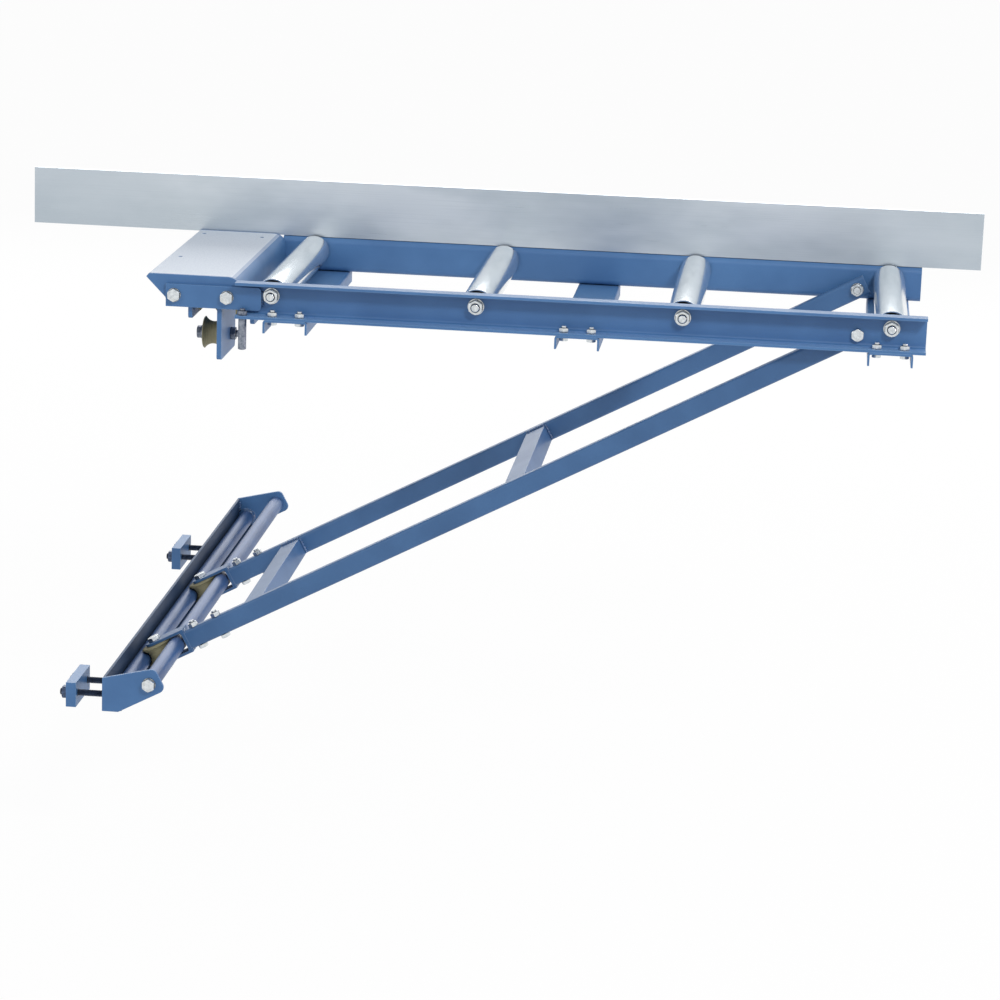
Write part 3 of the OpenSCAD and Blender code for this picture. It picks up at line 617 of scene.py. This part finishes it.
def add_mesh(target: bmesh.types.BMesh, part: bmesh.types.BMesh) -> None:
    """Copies one bmesh into another.

    Args:
        target: the bmesh that takes the copy.
        part: the bmesh that is copied, which is freed.
    """
    data = bpy.data.meshes.new("part")
    part.to_mesh(data)
    part.free()
    target.from_mesh(data)
    bpy.data.meshes.remove(data)


def set_upright(
    target: bmesh.types.BMesh, part: bmesh.types.BMesh, origin: Sequence[float], axis: Sequence[float],
) -> None:
    """Closes a part that was made round the third axis, and sets it along an axis in a bmesh.

    Args:
        target: the bmesh that takes the part.
        part: the part, which is freed.
        origin: the point where its own origin goes.
        axis: the way its third axis goes.
    """
    bmesh.ops.remove_doubles(part, verts=part.verts, dist=MERGE)
    bmesh.ops.recalc_face_normals(part, faces=part.faces)
    turn = Vector((0, 0, 1)).rotation_difference(Vector(axis)).to_matrix().to_4x4()
    part.transform(Matrix.Translation(Vector(origin)) @ turn)
    add_mesh(target, part)


def lathe(
    target: bmesh.types.BMesh,
    outline: Sequence[Pair],
    origin: Sequence[float],
    axis: Sequence[float],
    steps: int,
) -> None:
    """Spins an outline round an axis into a bmesh.

    Args:
        target: the bmesh that takes the new faces.
        outline: radius and distance along the axis, in metres, in order.
        origin: the point that distances count from.
        axis: the direction of the axis.
        steps: the number of segments round it.
    """
    part = bmesh.new()
    last = None
    for radius, along in outline:
        vert = part.verts.new((radius, 0, along))
        if last is not None:
            part.edges.new((last, vert))
        last = vert
    bmesh.ops.spin(
        part, geom=part.verts[:] + part.edges[:], cent=(0, 0, 0), axis=(0, 0, 1),
        angle=math.tau, steps=steps, use_merge=True, use_duplicate=False)
    set_upright(target, part, origin, axis)


def soften(mesh: bmesh.types.BMesh, width: float, segments: int, corner: float, longest: float = FAR) -> None:
    """Bevels the sharp edges of a bmesh.

    Args:
        mesh: the bmesh.
        width: the bevel's width in metres.
        segments: the faces across a bevel.
        corner: the angle in degrees above which an edge is sharp.
        longest: edges of this length in metres and longer ones are left alone.
    """
    edges = [
        edge for edge in mesh.edges
        if len(edge.link_faces) == 2 and edge.calc_length() < longest
        and edge.calc_face_angle(0.0) > math.radians(corner)]
    bmesh.ops.bevel(
        mesh, geom=edges, offset=width, offset_type="OFFSET", segments=segments, profile=0.5,
        affect="EDGES", material=-1, clamp_overlap=True)


def rounded_copy(node: str, width: float, rim: float = 0.0) -> bpy.types.Object:
    """Copies a CAD node with its sharp edges rounded.

    Args:
        node: the node's name.
        width: the rounding's width in metres.
        rim: the chamfer's width on round rims, such as bores and bolt ends, in metres.

    Returns:
        The rounded object, which stands for the node.
    """
    mesh = bmesh.new()
    mesh.from_mesh(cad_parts[node].data)
    bmesh.ops.remove_doubles(mesh, verts=mesh.verts, dist=MERGE)
    bmesh.ops.dissolve_limit(
        mesh, angle_limit=math.radians(FLAT), verts=mesh.verts, edges=mesh.edges,
        use_dissolve_boundaries=False)
    if rim:
        soften(mesh, rim, segments=1, corner=RIM_CORNER, longest=RIM_EDGE)
    soften(mesh, width, segments=2, corner=SHARP_CORNER)
    made = make_object(mesh, f"{node}_shown")
    weigh_normals(made)
    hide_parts(node)
    return made


def weigh_normals(made: bpy.types.Object) -> None:
    """Keeps a piece's large faces flat between its rounded edges."""
    made.modifiers.new("flat_faces", "WEIGHTED_NORMAL").keep_sharp = True


def drill(made: bpy.types.Object, cutter: bpy.types.Object) -> None:
    """Cuts a shape out of a piece and removes the cutter.

    Args:
        made: the piece.
        cutter: the object that is cut away.
    """
    cut = made.modifiers.new("holes", "BOOLEAN")
    cut.object = cutter
    cut.solver = "EXACT"
    graph = bpy.context.evaluated_depsgraph_get()
    data = bpy.data.meshes.new_from_object(made.evaluated_get(graph))
    made.modifiers.clear()
    made.data = data
    data.set_sharp_from_angle(angle=math.radians(SHARP_CORNER))
    weigh_normals(made)
    bpy.data.objects.remove(cutter)


@dataclass
class Welds:
    """Weld beads of one size, gathered in one mesh.

    Attributes:
        radius: a straight bead's radius in metres.
        sides: the faces round it.
        ring: the length of its rings, as a share of its radius.
        ripple: how much its ripples swell it.
        ripple_turn: the ripples' turn from ring to ring, in radians.
        uneven: how much its uneven stretches swell it.
        uneven_turn: their turn from end to end, in radians.
        rise_steps: a collar's steps from its foot to its top.
        round_steps: its steps round.
        height: its height, as a share of its size.
        root: how far it reaches into the round piece, as a share of its size.
        corner: the angle in degrees above which an edge stays sharp.
    """

    radius: float = 2.7 * MM
    sides: int = 8
    ring: float = 0.45
    ripple: float = 0.2
    ripple_turn: float = 1.57
    uneven: float = 0.1
    uneven_turn: float = 23.0
    rise_steps: int = 4
    round_steps: int = 28
    height: float = 0.95
    root: float = 0.3
    corner: float = 60.0

    def __post_init__(self) -> None:
        """Starts an empty mesh."""
        self.mesh = bmesh.new()

    def bead(self, start: Sequence[float], end: Sequence[float], seed: int) -> None:
        """Lays a straight rippled bead.

        Args:
            start: its first end, in metres.
            end: its other end.
            seed: shifts its ripples.
        """
        way = Vector(end) - Vector(start)
        rings = max(self.sides, round(way.length / (self.radius * self.ring)))
        part = bmesh.new()
        bmesh.ops.create_grid(part, x_segments=rings, y_segments=self.sides, size=0.5)
        for vert in part.verts:
            along, turn = vert.co.x + 0.5, (vert.co.y + 0.5) * math.tau
            taper = min(1.0, min(along, 1 - along) * way.length / self.radius)
            ripple = self.ripple * math.sin(along * rings * self.ripple_turn + seed)
            uneven = self.uneven * math.sin(along * self.uneven_turn + seed * 2)
            size = self.radius * math.sqrt(max(0.0, taper * (2 - taper))) * (1 + ripple + uneven)
            vert.co = (size * math.cos(turn), size * math.sin(turn), along * way.length)
        set_upright(self.mesh, part, start, way.normalized())

    def collar(self, centre: Sequence[float], axis: Sequence[float], inner: float, size: float) -> None:
        """Lays a ring of weld where a round piece meets a flat one.

        Args:
            centre: the ring's centre on the flat piece.
            axis: the way the round piece leaves.
            inner: the round piece's radius.
            size: the weld's size.
        """
        root, height = inner - size * self.root, size * self.height
        fillet = [(root, 0.0)]
        for step in range(self.rise_steps + 1):
            turn = math.tau / 4 * step / self.rise_steps
            fillet.append((inner + size * math.cos(turn), height * math.sin(turn)))
        fillet += [(root, height), (root, 0.0)]
        lathe(self.mesh, fillet, centre, axis, self.round_steps)


def dress(made: bpy.types.Object, body: str, material: bpy.types.Material) -> None:
    """Gives a piece its body and material.

    Args:
        made: the piece.
        body: the CAD body it rides on.
        material: its material.
    """
    made.data.materials.clear()
    made.data.materials.append(material)
    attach(made, body)
    LOG.info("%s rides on %s in %s", made.name, body, material.name)


# Sub-assemblies


@dataclass
class Palette:
    """The object's finishes as materials."""

    paint: bpy.types.Material
    rail_paint: bpy.types.Material
    brace_paint: bpy.types.Material
    head_paint: bpy.types.Material
    shaded_paint: bpy.types.Material
    tube_paint: bpy.types.Material
    weld: bpy.types.Material
    zinc: bpy.types.Material
    dark: bpy.types.Material
    pin: bpy.types.Material
    sealed: bpy.types.Material
    tube: bpy.types.Material
    alloy: bpy.types.Material

    @classmethod
    def mixed(cls) -> "Palette":
        """Mixes the finishes of this table.

        Returns:
            The finishes.
        """
        low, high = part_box("side_rail_front")
        return cls(
            paint=Paint().material(),
            # Side rails: a painted highlight on upward faces in their lower half, such as the lower flange's
            # top
            rail_paint=Paint(
                "rail_enamel", upward_highlight=tone(122, 162, 208),
                upward_highlight_below=(low[2] + high[2]) / 2).material(),
            # Darker copy of the blue enamel: painted shade on the brace
            brace_paint=Paint(
                "brace_shaded_enamel", body=tone(64, 104, 150), deep=tone(54, 92, 136),
                rubbed_and_edge_highlight=tone(116, 140, 176), upward_highlight=tone(84, 112, 152)).material(),
            # Head: a very pale painted highlight on its upward top face
            head_paint=Paint(
                "head_enamel", rubbed_and_edge_highlight=tone(140, 166, 198), upward_highlight=tone(206, 215, 227),
                roughness=0.52, coat=0.1).material(),
            # Darker copy of the blue enamel: painted shade on the back angle under the machine
            shaded_paint=Paint(
                "back_angle_shaded_enamel", body=tone(34, 62, 94), deep=tone(27, 51, 80),
                rubbed_and_edge_highlight=tone(78, 104, 140), painted_shade=tone(10, 22, 38), upward_highlight=tone(50, 78, 110),
                roughness=0.55, coat=0.0).material(),
            # Darker copy of the blue enamel: painted shade on the guide tubes under the machine
            tube_paint=Paint(
                "guide_tube_shaded_enamel", body=tone(54, 90, 138), deep=tone(44, 74, 118),
                rubbed_and_edge_highlight=tone(120, 136, 176), painted_shade=tone(14, 26, 46), upward_highlight=tone(80, 106, 152),
                roughness=0.48, coat=0.08).material(),
            weld=Paint(
                "weld_enamel", body=tone(66, 106, 154), deep=tone(40, 74, 116),
                rubbed_and_edge_highlight=tone(206, 216, 228), roughness=0.26, coat=0.5, peel=0.3 * MM,
                specks=1.0).material(),
            zinc=Plating().material(),
            dark=Plating(
                "dark_plate", pale=tone(78, 96, 126), dull=tone(46, 58, 82), warm=tone(64, 74, 96),
                painted_shade=tone(14, 18, 26), roughness=0.36, metallic=0.5).material(),
            pin=Plating(
                "dull_plate", pale=tone(150, 157, 168), dull=tone(92, 100, 116),
                warm=tone(124, 128, 138), painted_shade=tone(20, 24, 34), roughness=0.3,
                metallic=0.85).material(),
            # Zinc bearings made near black: painted shade inside the roller ends
            sealed=Plating(
                "bearing_painted_shade", pale=tone(30, 33, 40), dull=tone(16, 18, 22), warm=tone(24, 26, 30),
                painted_shade=tone(5, 5, 7), roughness=0.5, metallic=0.1).material(),
            tube=TubePolish().material(),
            alloy=BrushedAlloy().material())


@dataclass
class Assembly:
    """A group of CAD nodes on one body, and the weld beads between them.

    Attributes:
        palette: the finishes.
        body: the CAD body that the group rides on.
        edge: the rounding of large pieces' edges.
        small_edge: the rounding of small pieces' edges.
        rim: the chamfer on small pieces' round rims.
        off_corner: how far a bead's middle stands off a corner, as a share of its radius.
        inside_face: how far it lies inside a face, as such a share.
        past_edge: how far it stands past an edge, as such a share.
    """

    palette: Palette
    body: str = "table"
    edge: float = 0.7 * MM
    small_edge: float = 0.3 * MM
    rim: float = 0.75 * MM
    off_corner: float = 0.4
    inside_face: float = 0.3
    past_edge: float = 0.2

    def painted(self, nodes: Iterable[str], material: bpy.types.Material | None = None) -> None:
        """Rounds and paints steel nodes."""
        for node in nodes:
            dress(rounded_copy(node, self.edge), self.body, material or self.palette.paint)

    def plated(self, nodes: Iterable[str], material: bpy.types.Material, slot: Slot = Slot.ZINC) -> None:
        """Rounds and plates small nodes."""
        for node in nodes:
            dress(rounded_copy(node, self.small_edge, self.rim), self.body, material)

    def welded(self, welds: Welds, name: str) -> None:
        """Makes gathered weld beads a piece and paints it."""
        dress(make_object(welds.mesh, name, welds.corner), self.body, self.palette.weld)


@dataclass
class LowerRail(Assembly):
    """The guide rail on the machine's legs.

    The seams are the sizes of the collars round the inner tube and the rods, and the thread's corner
    is the angle in degrees above which its edges stay sharp.
    """

    body: str = "lower_rail"
    angle_wall: float = 4 * MM
    tube_radius: float = 12.5 * MM
    tube_seam: float = 4.32 * MM
    rod_radius: float = 5 * MM
    rod_seam: float = 4.05 * MM
    rod_spacing: float = 64 * MM
    rod_steps: int = 20
    clamp_pitch: float = 792 * MM
    thread_pitch: float = 1.5 * MM
    thread_depth: float = 0.75 * MM
    thread_corner: float = 50.0

    def build(self) -> None:
        """Makes the rail's pieces."""
        self.painted([
            "rail_end_plate_front", "rail_end_plate_rear", "leg_clamp_bar_front", "leg_clamp_bar_rear"])
        # The back angle takes a darker copy of the enamel, as painted shade
        self.painted(["rail_back_angle"], self.palette.shaded_paint)
        # The guide tubes take a darker copy of the enamel, as painted shade
        self.painted(["rail_inner_tube", "rail_outer_tube"], self.palette.tube_paint)
        self.plated(["outer_tube_bolts"], self.palette.zinc)
        self.plated(["clamp_nuts"], self.palette.dark, Slot.DARK_ZINC)
        self.threaded_rods()
        self.seams()

    def rod_places(self) -> list[float]:
        """Returns each clamp rod's place along the rail."""
        sides = (-self.rod_spacing / 2, self.rod_spacing / 2)
        return [clamp + side for clamp in (0.0, self.clamp_pitch) for side in sides]

    def threaded_rods(self) -> None:
        """Turns the clamp rods with their threads."""
        low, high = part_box("clamp_rods")
        length = high[0] - low[0]
        root = self.rod_radius - self.thread_depth
        outline = [(0.0, 0.0), (root, 0.0)]
        for turn in range(int(length / self.thread_pitch)):
            crest = (turn + 0.5) * self.thread_pitch
            outline += [(self.rod_radius, crest), (root, crest + 0.5 * self.thread_pitch)]
        outline += [(root, length), (0.0, length)]
        mesh = bmesh.new()
        for y in self.rod_places():
            lathe(mesh, outline, (low[0], y, 0.0), (1, 0, 0), self.rod_steps)
        rods = make_object(mesh, "clamp_rods_shown", self.thread_corner)
        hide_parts("clamp_rods")
        dress(rods, self.body, self.palette.dark)

    def seams(self) -> None:
        """Welds the rail's angle, plates, inner tube and clamp rods together."""
        welds = Welds()
        low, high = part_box("rail_back_angle")
        tube_low, tube_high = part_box("rail_inner_tube")
        tube_x, tube_z = (tube_low[0] + tube_high[0]) / 2, (tube_low[2] + tube_high[2]) / 2
        wall = self.angle_wall
        foot, top = low[2] + wall, high[2] - wall
        for seed, (y, into) in enumerate(((low[1], 1), (high[1], -1))):
            inset = y + into * self.off_corner * welds.radius
            welds.bead((wall, inset, tube_high[2]), (wall, inset, top), seed)
            welds.bead((wall, inset, foot), (high[0] - wall, inset, foot), seed + 2)
            welds.collar((tube_x, y, tube_z), (0, into, 0), self.tube_radius, self.tube_seam)
        for y in self.rod_places():
            welds.collar((0.0, y, 0.0), (-1, 0, 0), self.rod_radius, self.rod_seam)
        self.welded(welds, "rail_welds")


@dataclass
class TableFrame(Assembly):
    """Side rails, head, cross members and hangers.

    The head's holes are given by their places along and across the table.
    """

    head_holes: tuple[Pair, ...] = ((35 * MM, 478 * MM), (40 * MM, 260 * MM), (128 * MM, 469 * MM))
    head_hole_radius: float = 3.4 * MM
    head_hole_sides: int = 24
    splice_run_out: float = 4 * MM
    splice_corner: float = 5 * MM
    hanger_run_out: float = 8 * MM

    def build(self) -> None:
        """Makes the frame's pieces."""
        self.head()
        self.painted([
            "head_skirt_front", "head_skirt_rear", "splice_bar_front", "splice_bar_rear",
            "cross_member_left", "cross_member_middle", "cross_member_right", "hanger_left_front",
            "hanger_left_rear", "hanger_right_front", "hanger_right_rear"])
        # The side rails' enamel carries a painted highlight on upward faces in their lower half
        self.painted(["side_rail_front", "side_rail_rear"], self.palette.rail_paint)
        self.plated(
            ["head_bolts", "cross_member_bolts", "axle_nuts", "roller_axles"], self.palette.zinc)
        self.plated(["upper_guide_axles", "stop_pin"], self.palette.pin)
        self.seams()

    def head(self) -> None:
        """Makes the head's cover with its three small holes."""
        cover = rounded_copy("head_cover", self.edge)
        low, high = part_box("head_cover")
        mesh = bmesh.new()
        for x, y in self.head_holes:
            part = bmesh.new()
            bmesh.ops.create_cone(
                part, cap_ends=True, segments=self.head_hole_sides, radius1=self.head_hole_radius,
                radius2=self.head_hole_radius, depth=high[2] - low[2])
            bmesh.ops.translate(part, vec=(x, y, high[2]), verts=part.verts)
            add_mesh(mesh, part)
        drill(cover, make_object(mesh, "head_drill"))
        # The head's enamel carries a pale painted highlight on its top
        dress(cover, self.body, self.palette.head_paint)

    def seams(self) -> None:
        """Welds the splice bars to the side rails, and the hangers to the cover."""
        welds = Welds()
        inside, past = self.inside_face * welds.radius, self.past_edge * welds.radius
        for seed, end in enumerate(("front", "rear")):
            low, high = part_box(f"splice_bar_{end}")
            rail_low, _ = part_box(f"side_rail_{end}")
            y = high[1] - inside if end == "front" else low[1] + inside
            x, z = high[0] + past, low[2] - past
            welds.bead((rail_low[0], y, z), (high[0] - self.splice_run_out, y, z), seed)
            welds.bead((x, y, low[2] + self.splice_corner), (x, y, high[2] - self.splice_corner), seed + 3)
            for side in ("left", "right"):
                low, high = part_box(f"hanger_{side}_{end}")
                start, stop = low[1] + self.hanger_run_out, high[1] - self.hanger_run_out
                top = high[2] - inside
                for x in (low[0], high[0]):
                    welds.bead((x, start, top), (x, stop, top), seed + 5)
        self.welded(welds, "head_welds")


@dataclass
class Brace(Assembly):
    """The sloping brace with its struts and forks.

    Sizes along the brace count from its root, which lies on the inner tube's axis, and sizes over it
    from its middle line.
    """

    root: Triple = (16.5 * MM, 0.0, 8.5 * MM)
    strut_ridges: Pair = (208 * MM, 647 * MM)
    strut_leg: float = 32 * MM
    ridge_height: float = 12 * MM
    foot_height: float = -15 * MM
    fork_web: Pair = (74.5 * MM, 79.5 * MM)
    fork_half_gap: float = 15 * MM
    fork_width: float = 30 * MM

    def build(self) -> None:
        """Makes the brace's pieces."""
        # The brace takes a darker copy of the enamel, as painted shade
        self.painted([
            "brace_bar_front", "brace_bar_rear", "brace_strut_lower", "brace_strut_upper", "fork_front",
            "fork_rear"], self.palette.brace_paint)
        self.plated(["brace_bolts", "brace_spacers", "fork_bolts", "lower_guide_axles"], self.palette.zinc)
        self.seams()

    def at(self, along: float, y: float, over: float) -> Triple:
        """Returns a point that is given along, across and over the brace."""
        return (
            self.root[0] + along * math.cos(BRACE_SLOPE) - over * math.sin(BRACE_SLOPE), y,
            self.root[2] + along * math.sin(BRACE_SLOPE) + over * math.cos(BRACE_SLOPE))

    def seams(self) -> None:
        """Welds the struts to the bars and the forks' webs to their plates."""
        welds = Welds()
        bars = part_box("brace_bar_front"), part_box("brace_bar_rear")
        face = bars[1][0][1] - self.past_edge * welds.radius
        over = self.ridge_height + self.inside_face * welds.radius
        for seed, ridge in enumerate(self.strut_ridges):
            off = ridge + self.off_corner * welds.radius
            welds.bead(self.at(off, face, self.foot_height), self.at(off, face, self.ridge_height), seed)
            welds.bead(self.at(ridge - self.strut_leg, face, over), self.at(ridge, face, over), seed + 2)
        near, far = self.fork_web
        for seed, (low, high) in enumerate(bars):
            plate = low[1] + self.fork_width
            for side in (-self.fork_half_gap, self.fork_half_gap):
                welds.bead(self.at(near, low[1], side), self.at(near, plate, side), seed + 4)
                welds.bead(self.at(far, low[1], side), self.at(far, high[1], side), seed + 6)
        self.welded(welds, "brace_welds")


@dataclass
class Fence(Assembly):
    """The fence along the rear side rail."""

    def build(self) -> None:
        """Makes the fence's pieces."""
        dress(rounded_copy("fence_plate", self.edge), self.body, self.palette.alloy)
        self.plated(["fence_brackets", "fence_bolts"], self.palette.zinc)


@dataclass
class Rollers(Assembly):
    """Conveyor rollers and guide rollers, each on its own body."""

    count: int = 4

    def build(self) -> None:
        """Makes the rollers."""
        for number in range(1, self.count + 1):
            for kind, slot, material in (
                ("tube", Slot.ROLLER, self.palette.tube),
                # The zinc bearings take the near-black painted shade
                ("bearings", Slot.ZINC, self.palette.sealed),
            ):
                piece = rounded_copy(f"roller_{kind}_{number}", self.small_edge)
                dress(piece, f"table_roller_{number}", material)
        across_brace = (-math.sin(BRACE_SLOPE), 0, math.cos(BRACE_SLOPE))
        lower = TurnedPlastic("olive_low", across_brace).material()
        upper = TurnedPlastic("olive_high", (1, 0, 0)).material()
        for kind, material in (("lower", lower), ("top", upper), ("under", upper)):
            for end in ("front", "rear"):
                piece = rounded_copy(f"{kind}_guide_roller_{end}", self.small_edge)
                dress(piece, f"{kind}_guide_{end}", material)


@dataclass(frozen=True)
class Lamp:
    """A soft lamp of some watts, at a place and aimed at a point, in metres."""

    name: str
    place: Triple
    size: Pair
    power: float
    aim: Triple = (0.6, 0.3, 0.3)
    colour: Triple = (1.0, 1.0, 1.0)

    def hang(self) -> None:
        """Hangs the lamp."""
        data = bpy.data.lights.new(self.name, "AREA")
        data.color = self.colour
        data.shape = "RECTANGLE"
        data.size, data.size_y = self.size
        data.energy = self.power
        lamp = bpy.data.objects.new(self.name, data)
        lamp.location = self.place
        lamp.rotation_mode = "QUATERNION"
        lamp.rotation_quaternion = (Vector(self.aim) - Vector(self.place)).to_track_quat("-Z", "Y")
        lamp.visible_camera = False
        bpy.context.scene.collection.objects.link(lamp)


@dataclass
class Studio:
    """Camera, lamps, floor and surroundings.

    Angles are in degrees, the focal length and the picture in the photograph's pixels, the sensor in
    millimetres, and the rest in metres.
    """

    eye: Triple = (0.9967, -4.6824, 1.4739)
    yaw: float = -5.331
    pitch: float = 13.801
    roll: float = 2.046
    focal: float = 3371.1
    picture: float = 1000.0
    sensor: float = 36.0
    sight: float = 100.0
    floor_height: float = -0.255
    floor_reach: float = 30.0
    ambient: float = 0.56
    lamps: tuple[Lamp, ...] = (
        Lamp("key", place=(2.6, -3.2, 3.4), size=(0.9, 0.7), power=80),
        Lamp("fill", place=(-2.4, -2.8, 1.8), size=(2.0, 2.0), power=20),
        Lamp("rim", place=(0.6, 5.0, 2.2), size=(7.0, 2.4), power=120, aim=(0.6, 0.3, 0.5)),
        Lamp("side", place=(4.6, 0.4, 0.7), size=(1.8, 1.4), power=46, colour=(1.0, 0.8, 0.86)))

    def build(self) -> None:
        """Sets up the whole studio."""
        self.camera()
        self.floor()
        self.surroundings()
        for lamp in self.lamps:
            lamp.hang()
        bpy.context.scene.view_settings.view_transform = "Standard"

    def camera(self) -> None:
        """Places the camera at the photograph's viewing angle."""
        yaw, pitch, roll = (math.radians(angle) for angle in (self.yaw, self.pitch, self.roll))
        ahead = Vector((
            math.sin(yaw) * math.cos(pitch), math.cos(yaw) * math.cos(pitch), -math.sin(pitch)))
        level = Vector((math.cos(yaw), -math.sin(yaw), 0.0))
        over = level.cross(ahead)
        right = level * math.cos(roll) + over * math.sin(roll)
        up = over * math.cos(roll) - level * math.sin(roll)
        data = bpy.data.cameras.new("view")
        data.sensor_width = self.sensor
        data.lens = self.focal / self.picture * self.sensor
        data.clip_end = self.sight
        camera = bpy.data.objects.new("view", data)
        camera.matrix_world = Matrix.Translation(self.eye) @ Matrix((right, up, -ahead)).transposed().to_4x4()
        bpy.context.scene.collection.objects.link(camera)
        bpy.context.scene.camera = camera

    def floor(self) -> None:
        """Lays the floor."""
        mesh = bmesh.new()
        bmesh.ops.create_grid(mesh, x_segments=2, y_segments=2, size=self.floor_reach)
        bmesh.ops.translate(mesh, vec=(0, 0, self.floor_height), verts=mesh.verts)
        floor = make_object(mesh, "floor")
        floor.data.materials.append(PaleFloor().material())

    def surroundings(self) -> None:
        """Makes the surroundings even and white to see, and dimmer as a light."""
        g = Graph(bpy.data.worlds.new("studio"), "ShaderNodeOutputWorld")
        strength = g.node("ShaderNodeMapRange", None, {"Value": g.seen(), "To Min": self.ambient})
        bpy.context.scene.world = g.end(
            g.node("ShaderNodeBackground", None, {"Color": grey(1), "Strength": strength}))


def main() -> None:
    """Builds the table's looks and its studio."""
    logging.basicConfig(level=logging.INFO, format="%(name)s: %(message)s")
    Studio().build()
    palette = Palette.mixed()
    for assembly in (LowerRail, TableFrame, Brace, Fence, Rollers):
        assembly(palette).build()


if __name__ == "__main__":
    main()
